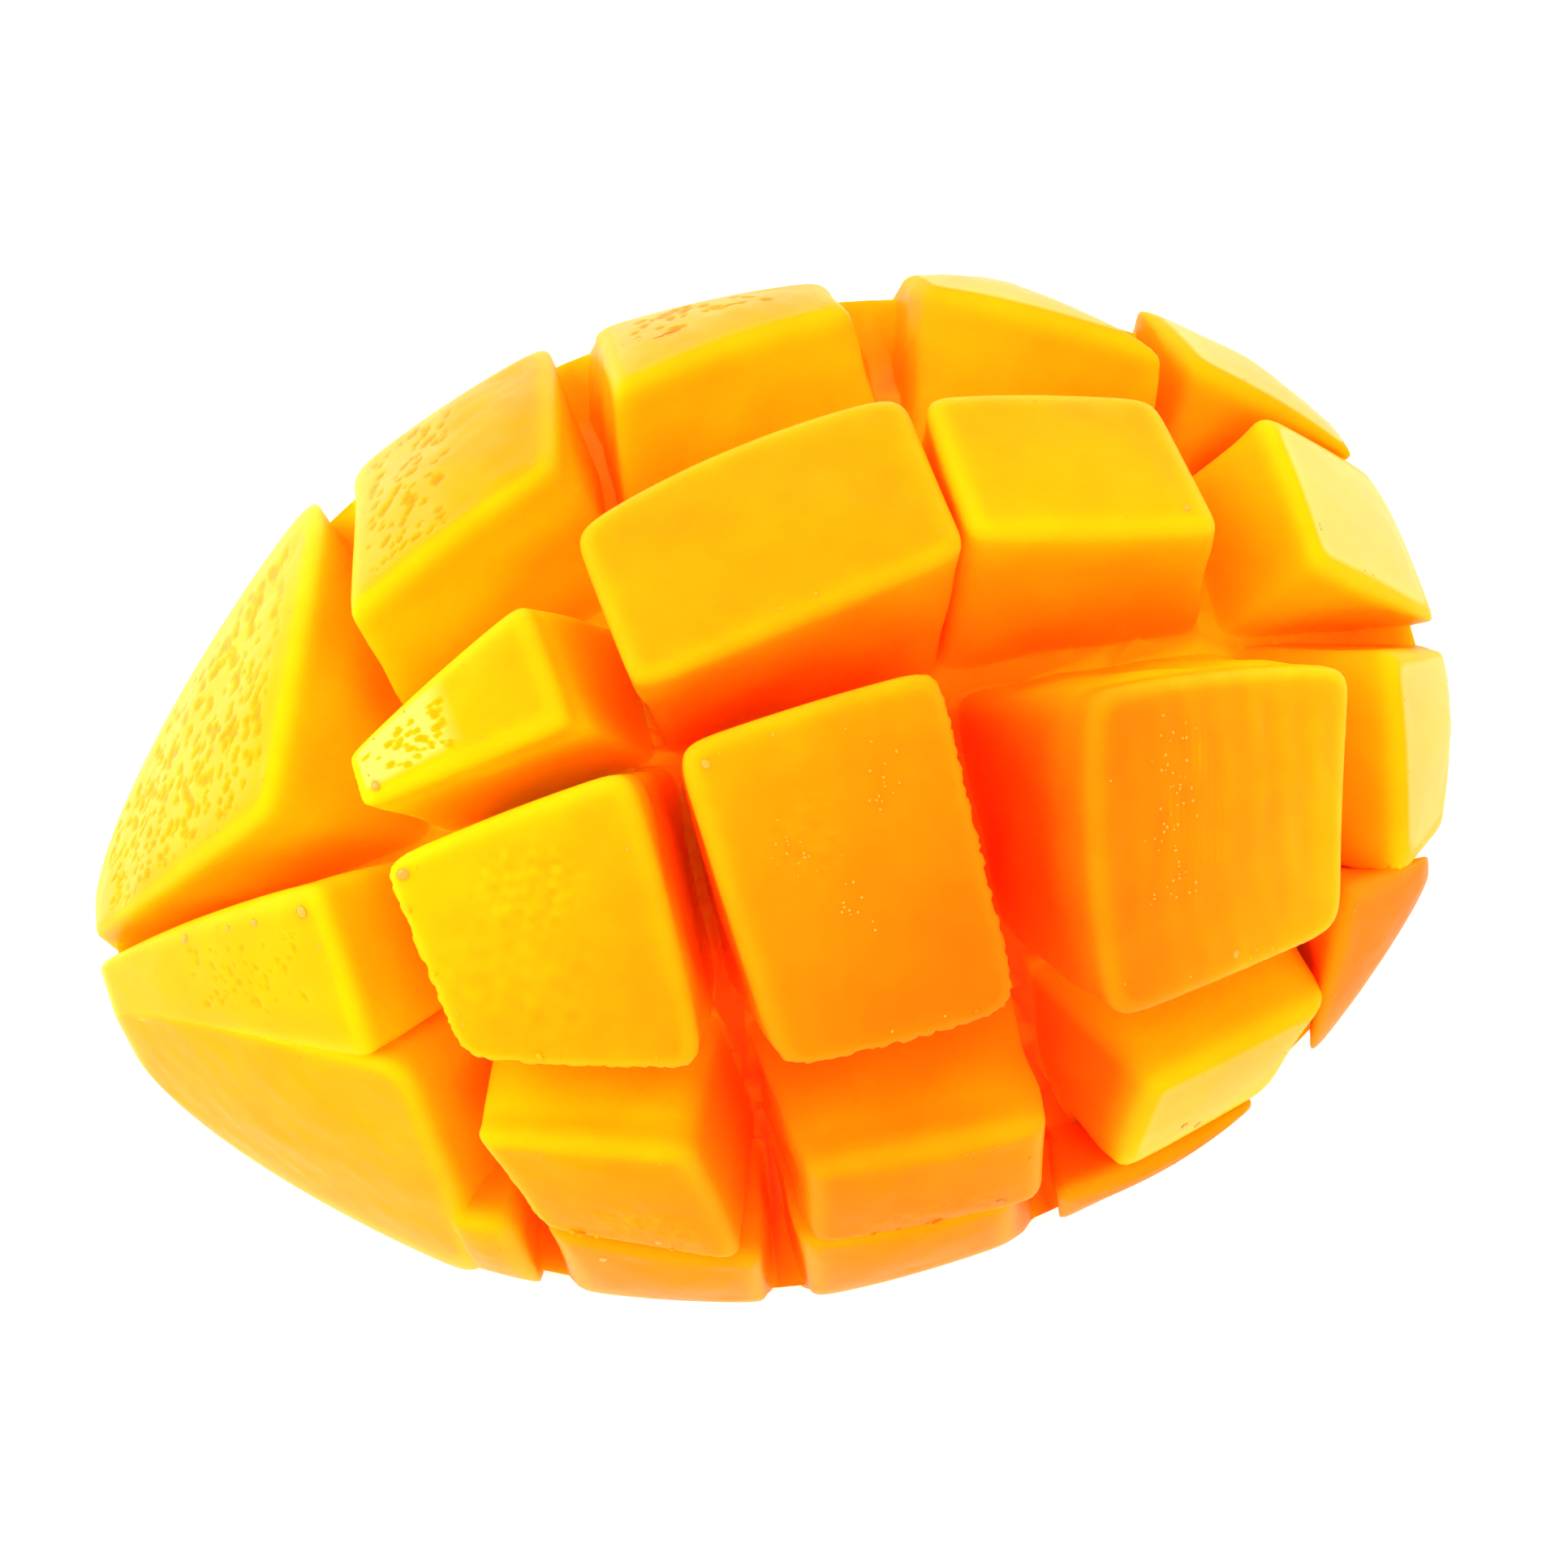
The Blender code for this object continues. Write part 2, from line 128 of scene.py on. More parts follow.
def squareness(x):
    """The power of the dome's outline: 2 is an ellipse, and more is squarer."""
    share = np.where(x > 0.0, BUTT_SQUARENESS, TIP_SQUARENESS)
    return 2.0 + share * np.abs(x) / HALF_LENGTH


def half_width(x, side):
    width = np.where(side > 0.0, BACK_WIDTH, FRONT_WIDTH)
    taper = np.where(x < 0.0, TIP_TAPER * (x / HALF_LENGTH) ** 2, 0.0)
    return width * (1.0 - taper)


def reach(x, y):
    """0 at the crown of the dome and 1 on its outline."""
    power = squareness(x)
    return np.abs(x / HALF_LENGTH) ** power + np.abs(y / half_width(x, y)) ** power


def dome_height(x, y):
    slope = 0.5 + np.where(x < 0.0, TIP_SLOPE * (x / HALF_LENGTH) ** 2, 0.0)
    return DOME_HEIGHT * np.maximum(1.0 - reach(x, y), 0.0) ** slope - SINK


def on_dome(x, y):
    return np.stack([x, y, dome_height(x, y)], axis=-1)


def unit(vectors):
    return vectors / np.linalg.norm(vectors, axis=-1, keepdims=True)


def dome_normal(x, y):
    """The dome's outward direction, read a little inside the rim."""
    steepest = 0.985
    pull = 0.995
    step = 0.1
    outside = reach(x, y) > steepest
    while outside.any():
        x = np.where(outside, x * pull, x)
        y = np.where(outside, y * pull, y)
        outside = reach(x, y) > steepest
    slope_x = (dome_height(x + step, y) - dome_height(x - step, y)) / (2.0 * step)
    slope_y = (dome_height(x, y + step) - dome_height(x, y - step)) / (2.0 * step)
    return unit(np.stack([-slope_x, -slope_y, np.ones_like(x)], axis=-1))


def under_dome(x, y, extra=0.0):
    """The bottom of the cuts below a place on the dome."""
    rise = np.maximum(1.0 - reach(x, y), 0.0) ** 0.5
    depth = CUT_DEPTH_AT_RIM + (CUT_DEPTH_AT_CROWN - CUT_DEPTH_AT_RIM) * rise
    return on_dome(x, y) - dome_normal(x, y) * (depth + extra)[..., None]


def foot_point(x, y):
    """Where a cube's foot is rooted: in the bed, or below the rim near its outer edge."""
    outward = np.clip((reach(x, y) - RIM_FOOT_REACH) / (RIM_REACH - RIM_FOOT_REACH), 0.0, 1.0)
    share = (outward * outward * (3.0 - 2.0 * outward))[..., None]
    below_rim = np.stack([x * RIM_TUCK, y * RIM_TUCK, np.full_like(x, -BELOW)], axis=-1)
    return under_dome(x, y, BED) * (1.0 - share) + below_rim * share


def rim_y(x, side):
    power = squareness(x)
    room = np.maximum(RIM_REACH - np.abs(x / HALF_LENGTH) ** power, 0.0)
    return side * half_width(x, side) * room ** (1.0 / power)


def cut_line(cut, along):
    return cut["place"] + cut["slant"] * along + cut["bow"] * along * along


def cut_edge(cut, rim, along, lean, open_share, side):
    """The edge of a cube beside a cut, or beside the rim."""
    if cut is RIM:
        return rim - side * lean
    return cut_line(cut, along) - side * (cut["opening"] / 2.0 + lean) * open_share


def cube_middle(name):
    """About the middle of a cube's face, which its sides are turned round."""
    left, right, back, front = CUBES[name][0]
    x_left = -END_X if left is RIM else left["place"]
    x_right = END_X if right is RIM else right["place"]
    x = (x_left + x_right) / 2.0
    y_back = rim_y(x, 1.0) if back is RIM else cut_line(back, x)
    y_front = rim_y(x, -1.0) if front is RIM else cut_line(front, x)
    return x, (y_back + y_front) / 2.0


def cube_place(name, across, down, open_share=1.0):
    """Places in a cube's cell: 0 to 1 from left to right and from back to front."""
    (left, right, back, front), leans, turns = CUBES[name]
    middle_x, middle_y = cube_middle(name)
    x = np.zeros_like(across)
    y = np.zeros_like(across)
    for _ in range(SETTLING_STEPS):
        lean_left, lean_right = [lean + turn * (y - middle_y) for lean, turn in zip(leans[:2], turns[:2])]
        x_left = np.maximum(cut_edge(left, -END_X, y, lean_left, open_share, -1.0), -END_X)
        x_right = np.minimum(cut_edge(right, END_X, y, lean_right, open_share, 1.0), END_X)
        x = 0.5 * x + 0.5 * (x_left * (1.0 - across) + x_right * across)
        lean_back, lean_front = [lean + turn * (x - middle_x) for lean, turn in zip(leans[2:], turns[2:])]
        rim_back = rim_y(x, 1.0)
        rim_front = rim_y(x, -1.0)
        y_back = np.minimum(cut_edge(back, rim_back, x, lean_back, open_share, 1.0), rim_back)
        y_front = np.maximum(cut_edge(front, rim_front, x, lean_front, open_share, -1.0), rim_front)
        y = 0.5 * y + 0.5 * (y_back * (1.0 - down) + y_front * down)
    return x, y


GRAIN = 0.55
FINE_GRAIN = 0.36
WALL_GRAIN = 0.85
FEWEST_FACE_STEPS = 8
FEWEST_WALL_STEPS = 4
ARC_STEPS = 5
ARC_WEIGHT = 0.75
LONGEST_ROUNDING = 0.4
SIDE_POWER = 8

# How yellow each cube is: 1 is lemon, 0.5 is full orange. Then how much yellower it
# gets from the middle of its face to the right and to the front. The tones are partly
# the flesh's own colour, which differs from cube to cube, and partly painted light: the
# cubes at the back left, towards the lamp, are painted yellower, those in the middle and
# at the front right oranger, and the slopes partly paint the fall of light across a face
TONES = {
    "back_1": (0.66, -0.03, 0.0), "back_2": (0.65, 0.0, 0.0), "back_3": (0.62, 0.0, 0.0),
    "back_4": (0.64, 0.0, 0.0), "upper_0": (0.72, 0.0, -0.02), "upper_1": (0.72, -0.05, 0.0),
    "upper_2": (0.63, 0.0, 0.0), "upper_3": (0.68, 0.0, 0.02), "upper_4": (0.71, 0.0, 0.0),
    "middle_0": (0.71, 0.0, 0.0), "middle_1": (0.66, -0.04, -0.04), "middle_2": (0.54, -0.04, -0.07),
    "middle_3": (0.58, 0.10, 0.0), "middle_4": (0.71, 0.03, 0.0), "lower_0": (0.66, 0.0, 0.0),
    "lower_1": (0.60, -0.02, -0.01), "lower_2": (0.54, 0.02, -0.01), "lower_3": (0.71, 0.0, 0.04),
    "lower_4": (0.51, 0.0, 0.0), "front_0": (0.64, 0.0, 0.0), "front_1": (0.58, 0.0, 0.0),
    "front_2": (0.56, 0.0, 0.0), "front_3": (0.53, 0.0, 0.0),
}

# The outer faces of some cubes at the back and right are painted whiter: mostly a painted
# reflection of the bright room, which wet flesh shows where it is seen edge-on, and
# partly the paler flesh near the peel
PEEL_PALENESS_AND_PAINTED_SHEEN = {
    "back_2": 0.06, "back_3": 0.35, "back_4": 0.42, "upper_4": 0.40, "middle_4": 0.34, "lower_3": 0.16,
}

# Painted light and shade on the walls: each wall is painted yellower (+) or redder (-) than
# its own face, after how much light reaches into its groove: left, right, back, front
WALL_PAINTED_LIGHT = {
    "back_1": (0.16, 0.16, 0.16, 0.18),
    "back_2": (0.08, 0.08, 0.08, 0.07),
    "back_3": (0.06, 0.06, 0.06, 0.07),
    "upper_0": (0.06, 0.06, 0.10, 0.14),
    "upper_1": (0.16, 0.20, 0.16, 0.26),
    "upper_2": (0.02, -0.02, 0.06, 0.02),
    "upper_3": (0.0, 0.02, 0.02, -0.02),
    "upper_4": (0.05, 0.05, 0.05, 0.05),
    "middle_0": (0.12, 0.11, 0.12, 0.12),
    "middle_1": (0.06, 0.02, 0.14, 0.06),
    "middle_3": (0.0, 0.05, 0.26, 0.0),
    "lower_0": (0.06, 0.06, 0.06, 0.06),
    "lower_1": (0.13, -0.04, 0.28, 0.10),
    "lower_2": (0.03, 0.0, 0.11, 0.08),
    "lower_3": (-0.22, 0.05, 0.11, 0.06),
}
PLAIN_WALL = (0.01, 0.01, 0.01, 0.01)
# The painted light and shade on a wall starts at this share at its top and is full this far down
WALL_TONE_AT_EDGE = 0.4
WALL_TONE_DEPTH = 3.0

# Sides that tore instead of cutting clean: left, right, back, front
TORN = {
    "upper_1": (0.3, 0.0, 0.0, 0.1),
    "middle_1": (0.65, 0.0, 0.0, 0.6),
    "middle_2": (0.0, 0.5, 0.0, 0.75),
    "middle_3": (0.0, 0.0, 0.0, 0.3),
    "lower_1": (0.55, 0.0, 0.0, 0.8),
    "lower_2": (0.2, 0.0, 0.0, 0.8),
}
NO_TEARS = (0.0, 0.0, 0.0, 0.0)
TEAR_SIZE = 0.9
LARGEST_JAG = 1.1
COARSE_JAG_LENGTH = 1.3
FINE_JAG_LENGTH = 0.7
FINE_JAG_SHARE = 0.6
JAG_POWER = 1.5
UNTORN_LEVEL = 0.4
TEAR_OUTWARD = 0.85
TEAR_DOWNWARD = 0.5
TEAR_FADE = 0.8
TEAR_ROUNDING = 0.45

# Pores where the knife drew over the pale flesh near the peel: how many, how
# large, how stretched, the part of the face that has them, and how pale it is. The pale
# ground is partly the flesh's own and partly a painted reflection of the bright room
PORES = {
    "upper_0": {
        "count": 360, "radius": (0.20, 0.52), "stretch": 1.7,
        "from": (-0.8, -0.9), "to": (0.9, 0.9), "pale": 0.10,
    },
    "upper_1": {
        "count": 40, "radius": (0.14, 0.50), "stretch": 1.4,
        "from": (-0.95, -0.6), "to": (0.0, 0.9), "pale": 0.30,
    },
    "back_1": {
        "count": 90, "radius": (0.20, 0.5), "stretch": 2.2,
        "from": (-0.9, -0.9), "to": (0.0, 0.9), "pale": 0.08,
    },
    "middle_0": {
        "count": 60, "radius": (0.15, 0.4), "stretch": 1.6,
        "from": (-0.2, -0.7), "to": (0.8, 0.6), "pale": 0.0,
    },
    "back_2": {
        "count": 34, "radius": (0.25, 0.65), "stretch": 1.8,
        "from": (-0.9, -0.8), "to": (0.5, 0.3), "pale": 0.06,
    },
}
PORE_TILTS = (50.0, 90.0)
PORE_RIM = (0.6, 1.15)
PALE_FADE_ACROSS = (0.15, -0.25)
PALE_FADE_DOWN = (0.1, -0.2)
PORE_DEPTH = 0.16
PORE_TONE = 0.08

# Wrinkles on a face: where their middle is, how far they spread, how far apart and
# how high they are, and which way they run. A wrinkle without a heading is a dimple
RIPPLES = {
    "middle_1": (
        {"middle": (0.0, -0.45), "spread": (0.6, 0.5), "spacing": 1.0, "height": 0.07, "heading": None},
        {"middle": (-0.3, 0.3), "spread": (0.9, 0.7), "spacing": 1.6, "height": 0.04, "heading": None},
    ),
    "middle_2": (
        {"middle": (-0.3, -0.3), "spread": (0.4, 0.4), "spacing": 0.9, "height": 0.04, "heading": None},
    ),
    "middle_3": (
        {"middle": (-0.25, -0.15), "spread": (0.35, 0.85), "spacing": 0.8, "height": 0.07, "heading": 2.0},
        {"middle": (0.1, 0.0), "spread": (1.3, 1.5), "spacing": 3.4, "height": 0.05, "heading": -4.0},
    ),
    "lower_1": (
        {"middle": (0.2, 0.6), "spread": (0.9, 0.5), "spacing": 0.7, "height": 0.08, "heading": None},
    ),
    "lower_2": (
        {"middle": (0.1, 0.7), "spread": (0.9, 0.4), "spacing": 0.7, "height": 0.08, "heading": None},
    ),
}
# Painted light and shade on the wrinkles: their crests are painted yellower and their troughs redder
PAINTED_RIDGE_LIGHT = 0.3
RIDGE_EVENNESS = 0.6
RIDGE_FADE_LENGTH = 5.0
RIDGE_BEND = (0.9, 14.0)
RIDGE_FINE_BEND = (0.25, 3.0)
RIPPLE_FADE = (0.3, 1.0)
DIMPLE_WAVES = 24

# The unevenness of every face and wall: its height and its length
FACE_SWELL = (0.13, 9.0)
FACE_GRAIN = (0.035, 2.6)
WALL_SWELL = (0.16, 8.0)
WALL_SWELL_FROM = 3.0
WAVE_LENGTHS = (0.7, 1.4)
CALM_EDGE = 2.0
# Painted highlight: the rounded edges are painted yellower, standing in for light that glows through them
# and glances off them, fading over this width
PAINTED_EDGE_GLOW = 0.4
PAINTED_EDGE_GLOW_WIDTH = 0.6

# Each kind of unevenness draws its own waves
GRAIN_SEED, COARSE_JAG_SEED, FINE_JAG_SEED, WALL_SEED = 50, 100, 150, 200
BEND_SEED, FINE_BEND_SEED, FADE_SEED, DIMPLE_SEED, LUMP_SEED = 300, 320, 340, 350, 500

# The finished face of each cube, for the juice, crumbs and fibres to lie on
FACES = {}


def waves(points, length, seed, count=9):
    """Smooth unevenness between about -1 and 1, the same on every run."""
    draw = np.random.default_rng(seed)
    directions = unit(draw.normal(size=(count, 3)))
    lengths = length * draw.uniform(*WAVE_LENGTHS, count)
    phases = draw.uniform(0.0, 2.0 * pi, count)
    total = np.zeros(points.shape[:-1])
    for direction, size, phase in zip(directions, lengths, phases):
        total += np.sin(points @ direction * (2.0 * pi / size) + phase)
    return total / count ** 0.5


def smooth_step(low, high, value):
    share = np.clip((value - low) / (high - low), 0.0, 1.0)
    return share * share * (3.0 - 2.0 * share)


def square_places(rows, columns):
    """A grid over a square with rounded corners, from -1 to 1 each way, back row first."""
    across, down = np.meshgrid(np.linspace(-1.0, 1.0, columns), np.linspace(-1.0, 1.0, rows))
    size = np.maximum(np.abs(across), np.abs(down))
    round_size = (np.abs(across) ** CORNER_POWER + np.abs(down) ** CORNER_POWER) ** (1.0 / CORNER_POWER)
    pull = np.where(round_size > 0.0, size / np.maximum(round_size, 1e-9), 1.0)
    return across * pull, down * pull


def border_numbers(rows, columns):
    """The grid's outer places, clockwise from above from the back left corner."""
    number = np.arange(rows * columns).reshape(rows, columns)
    return np.concatenate([number[0, :-1], number[:-1, -1], number[-1, :0:-1], number[:0:-1, 0]])


def pore_field(name, across, down, width, depth):
    """1 in the middle of a pore and 0 outside, over a cube's face."""
    pores = PORES[name]
    draw = np.random.default_rng(len(name) + pores["count"])
    field = np.zeros_like(across)
    (left, back), (right, front) = pores["from"], pores["to"]
    for _ in range(pores["count"]):
        centre = draw.uniform(left, right), draw.uniform(back, front)
        radius = draw.uniform(*pores["radius"])
        stretch = draw.uniform(1.0, pores["stretch"])
        tilt = radians(draw.uniform(*PORE_TILTS))
        beside = (across - centre[0]) * width / 2.0
        ahead = (down - centre[1]) * depth / 2.0
        along = beside * cos(tilt) - ahead * sin(tilt)
        aside = beside * sin(tilt) + ahead * cos(tilt)
        distance = np.sqrt((along / stretch) ** 2 + aside ** 2) / radius
        field = np.maximum(field, 1.0 - smooth_step(*PORE_RIM, distance))
    return field


def ripples(name, face, across, down, width, depth, number):
    """The height of a face's wrinkles."""
    height = np.zeros_like(across)
    for ripple in RIPPLES.get(name, ()):
        (middle_x, middle_y), (spread_x, spread_y) = ripple["middle"], ripple["spread"]
        distance = ((across - middle_x) / spread_x) ** 2 + ((down - middle_y) / spread_y) ** 2
        if ripple["heading"] is None:
            crests = waves(face, ripple["spacing"], number + DIMPLE_SEED, DIMPLE_WAVES)
        else:
            heading = radians(ripple["heading"])
            gone = across * width / 2.0 * cos(heading) + down * depth / 2.0 * sin(heading)
            bend = RIDGE_BEND[0] * waves(face, RIDGE_BEND[1], number + BEND_SEED)
            bend += RIDGE_FINE_BEND[0] * waves(face, RIDGE_FINE_BEND[1], number + FINE_BEND_SEED)
            crests = np.sin(2.0 * pi * gone / ripple["spacing"] + bend)
            fade = waves(face, RIDGE_FADE_LENGTH, number + FADE_SEED)
            crests = crests * (RIDGE_EVENNESS + (1.0 - RIDGE_EVENNESS) * fade)
        height += ripple["height"] * crests * (1.0 - smooth_step(*RIPPLE_FADE, distance))
    return height


def cube_mesh(name, number):
    """A cube's points, its faces, and at each point its tone, edge, depth and paleness."""
    def top_edge(across, down):
        return on_dome(*cube_place(name, 0.5 + 0.5 * across, 0.5 + 0.5 * down))

    middles = top_edge(np.array([-1.0, 1.0, 0.0, 0.0]), np.array([0.0, 0.0, -1.0, 1.0]))
    width = np.linalg.norm(middles[1] - middles[0])
    depth = np.linalg.norm(middles[3] - middles[2])
    grain = FINE_GRAIN if name in TORN or name in PORES else GRAIN
    columns = max(int(width / grain), FEWEST_FACE_STEPS) + 1
    rows = max(int(depth / grain), FEWEST_FACE_STEPS) + 1
    across, down = square_places(rows, columns)
    border = border_numbers(rows, columns)
    rim_across = across.ravel()[border]
    rim_down = down.ravel()[border]
    edge = top_edge(rim_across, rim_down)
    middle = edge.mean(axis=0)
    normal = unit(np.cross(np.roll(edge, -1, axis=0) - middle, edge - middle).sum(axis=0))
    crown = top_edge(np.zeros(1), np.zeros(1))[0]
    at_rim = RIM in CUBES[name][0]
    flatness = RIM_FLATNESS if at_rim else 1.0
    lift = (crown - middle) @ normal * (RIM_LIFT if at_rim else INNER_LIFT)
    torn_left, torn_right, torn_back, torn_front = TORN.get(name, NO_TEARS)

    def face_points(across, down):
        points = top_edge(across, down)
        bulge = FACE_CROWN * (1.0 - across ** 2) * (1.0 - down ** 2)
        height = lift + bulge - (points - middle) @ normal * flatness
        return points + height[..., None] * normal

    def by_side(sides):
        """A value that belongs to each side, blended round the corners."""
        beside = np.where(rim_across < 0.0, sides[0], sides[1])
        ahead = np.where(rim_down < 0.0, sides[2], sides[3])
        weight_x = np.abs(rim_across) ** SIDE_POWER + 1e-9
        weight_y = np.abs(rim_down) ** SIDE_POWER + 1e-9
        return (beside * weight_x + ahead * weight_y) / (weight_x + weight_y)

    def rounding(torn):
        return EDGE_ROUNDING * (1.0 - torn) + TEAR_ROUNDING * torn

    inset_x = rounding(np.where(across < 0.0, torn_left, torn_right))
    inset_y = rounding(np.where(down < 0.0, torn_back, torn_front))
    face = face_points(across * (1.0 - 2.0 * inset_x / width), down * (1.0 - 2.0 * inset_y / depth))
    from_edge = np.minimum((1.0 - np.abs(across)) * width, (1.0 - np.abs(down)) * depth) / 2.0
    calm = smooth_step(0.0, CALM_EDGE, from_edge)
    relief = FACE_SWELL[0] * waves(face, FACE_SWELL[1], number)
    relief += FACE_GRAIN[0] * waves(face, FACE_GRAIN[1], number + GRAIN_SEED)
    ridges = ripples(name, face, across, down, width, depth, number)
    relief += ridges
    pale = np.zeros_like(across)
    if name in PORES:
        pores = pore_field(name, across, down, width, depth)
        relief -= PORE_DEPTH * pores
        (left, back), (right, front) = PORES[name]["from"], PORES[name]["to"]
        ground = smooth_step(right + PALE_FADE_ACROSS[0], right + PALE_FADE_ACROSS[1], across)
        ground = ground * smooth_step(front + PALE_FADE_DOWN[0], front + PALE_FADE_DOWN[1], down)
        pale = PORES[name]["pale"] * ground - pores
    face = face + (relief * calm)[..., None] * normal
    FACES[name] = (across, down, face, normal)
    face = face.reshape(-1, 3)

    inner = face[border]
    corner = face_points(rim_across, rim_down)
    foot = foot_point(*cube_place(name, 0.5 + 0.5 * rim_across, 0.5 + 0.5 * rim_down, FOOT_SHARE))
    drop = foot - corner
    length = np.linalg.norm(drop, axis=-1, keepdims=True)
    down_wall = drop / length
    outward = corner - middle
    outward = unit(outward - (outward * down_wall).sum(axis=-1, keepdims=True) * down_wall)
    torn = by_side((torn_left, torn_right, torn_back, torn_front))
    wall_top = corner + down_wall * np.minimum(rounding(torn)[:, None], LONGEST_ROUNDING * length)
    jags = np.abs(waves(corner, COARSE_JAG_LENGTH, number + COARSE_JAG_SEED)) ** JAG_POWER
    jags += FINE_JAG_SHARE * np.abs(waves(corner, FINE_JAG_LENGTH, number + FINE_JAG_SEED))
    jags = LARGEST_JAG * np.tanh(jags / LARGEST_JAG) - UNTORN_LEVEL
    tear = (outward * TEAR_OUTWARD + down_wall * TEAR_DOWNWARD) * (torn * TEAR_SIZE * jags)[:, None]
    rings = []
    ring_edge = []
    ring_depth = []
    ring_wall = []
    for step in range(1, ARC_STEPS + 1):
        t = step / ARC_STEPS
        shares = ((1.0 - t) ** 2, 2.0 * ARC_WEIGHT * t * (1.0 - t), t ** 2)
        ring = (inner * shares[0] + corner * shares[1] + wall_top * shares[2]) / sum(shares)
        rings.append(ring + tear * t)
        ring_edge.append(PAINTED_EDGE_GLOW + (1.0 - PAINTED_EDGE_GLOW) * sin(pi * t))
        ring_depth.append(0.0)
        ring_wall.append(WALL_TONE_AT_EDGE * t)
    wall_steps = max(int(np.median(length) / WALL_GRAIN), FEWEST_WALL_STEPS)
    for step in range(1, wall_steps + 1):
        t = step / wall_steps
        ring = wall_top * (1.0 - t) + foot * t
        gone = np.median(length) * t
        swell = WALL_SWELL[0] * waves(ring, WALL_SWELL[1], number + WALL_SEED)
        swell = swell * min(gone / WALL_SWELL_FROM, 1.0)
        ring = ring + outward * swell[:, None] + tear * np.exp(-gone / TEAR_FADE)
        rings.append(ring)
        ring_edge.append(PAINTED_EDGE_GLOW * np.exp(-gone / PAINTED_EDGE_GLOW_WIDTH))
        ring_depth.append(gone)
        deep = smooth_step(0.0, WALL_TONE_DEPTH, gone)
        ring_wall.append(WALL_TONE_AT_EDGE + (1.0 - WALL_TONE_AT_EDGE) * deep)
    foot_middle = foot_point(*cube_place(name, np.full(1, 0.5), np.full(1, 0.5), FOOT_SHARE))
    points = np.concatenate([face] + rings + [foot_middle])

    count = len(border)
    values = np.zeros((len(points), 4))
    tone, rightward, frontward = TONES[name]
    # The face tone carries the painted light of the cube's tone and slopes, and the painted light and
    # shade of its wrinkles
    face_tone = tone + rightward * across + frontward * down + PAINTED_RIDGE_LIGHT * ridges
    if name in PORES:
        face_tone = face_tone - PORE_TONE * pores
    # Painted light and shade on the walls, growing from the edge downwards
    wall_tone = np.outer(ring_wall, by_side(WALL_PAINTED_LIGHT.get(name, PLAIN_WALL)))
    values[:len(face), 0] = face_tone.ravel()
    values[len(face):-1, 0] = np.tile(face_tone.ravel()[border], len(rings)) + wall_tone.ravel()
    values[-1, 0] = tone
    # The painted edge highlight, strongest at the rounded edges
    values[:len(face), 1] = PAINTED_EDGE_GLOW * np.exp(-from_edge.ravel() / PAINTED_EDGE_GLOW_WIDTH)
    values[len(face):-1, 1] = np.repeat(ring_edge, count)
    values[len(face):-1, 2] = np.repeat(ring_depth, count)
    values[-1, 2] = ring_depth[-1]
    # Paleness: the pores' pale ground and the whitened outer faces, both partly a painted reflection
    values[:len(face), 3] = pale.ravel() + PEEL_PALENESS_AND_PAINTED_SHEEN.get(name, 0.0)

    grid = np.arange(rows * columns).reshape(rows, columns)
    quads = np.stack([grid[:-1, :-1], grid[1:, :-1], grid[1:, 1:], grid[:-1, 1:]], axis=-1)
    ring_numbers = [border]
    for level in range(len(rings)):
        ring_numbers.append(rows * columns + level * count + np.arange(count))
    walls = []
    for upper, under in zip(ring_numbers, ring_numbers[1:]):
        walls.append(np.stack([upper, np.roll(upper, -1), np.roll(under, -1), under], axis=-1))
    quads = np.concatenate([quads.reshape(-1, 4)] + walls)
    last = ring_numbers[-1]
    fan = np.stack([last, np.roll(last, -1), np.full(count, len(points) - 1)], axis=-1)
    return points, quads.tolist() + fan.tolist(), values


def solid(name, points, faces):
    mesh = bpy.data.meshes.new(name)
    mesh.from_pydata((points * MM).tolist(), [], faces)
    mesh.update()
    item = bpy.data.objects.new(name, mesh)
    bpy.context.scene.collection.objects.link(item)
    return item


def outline_places(turns, level):
    """The plan places in some directions where the dome's reach comes to a level."""
    inside = np.zeros_like(turns)
    outside = np.full_like(turns, HALF_LENGTH)
    for _ in range(SETTLING_STEPS):
        radius = (inside + outside) / 2.0
        short = reach(radius * np.cos(turns), radius * np.sin(turns)) < level
        inside = np.where(short, radius, inside)
        outside = np.where(short, outside, radius)
    return inside * np.cos(turns), inside * np.sin(turns)


def loft(name, rings, under_middle, top_middle):
    """A closed mesh through rings of points, with a fan over each end."""
    count = len(rings[0])
    points = np.concatenate(rings + [under_middle[None], top_middle[None]])
    side = np.arange(count)
    after = np.roll(side, -1)
    faces = []
    for level in range(len(rings) - 1):
        low = level * count
        high = low + count
        faces += np.stack([low + after, low + side, high + side, high + after], axis=-1).tolist()
    last = (len(rings) - 1) * count
    bottom = np.full(count, len(points) - 2)
    top = np.full(count, len(points) - 1)
    faces += np.stack([side, after, bottom], axis=-1).tolist()
    faces += np.stack([last + after, last + side, top], axis=-1).tolist()
    return solid(name, points, faces)


RING_SIDES = 120
BED_RINGS = 18
HOLLOW_RINGS = 16
LIP_SHARE = 0.975
LIP_HEIGHT = 2.5
PEEL_THICKNESS = 0.8
# The bed at the foot of the grooves is painted as shade: redder than the cubes, most round a heart near
# the middle, and counted this deep for the painted depth shade
BED_DEPTH = 6.0
SHADED_BED_TONE = 0.36
BED_YELLOWING = 0.36
BED_HEART = (6.0, -24.0)
BED_HEART_REACH = (10.0, 42.0)
CENTRE_SHIFT = (0.18, -0.216)
SMOOTH_UP_TO = 50.0
turns = -2.0 * pi * np.arange(RING_SIDES) / RING_SIDES
origin = np.zeros(1)


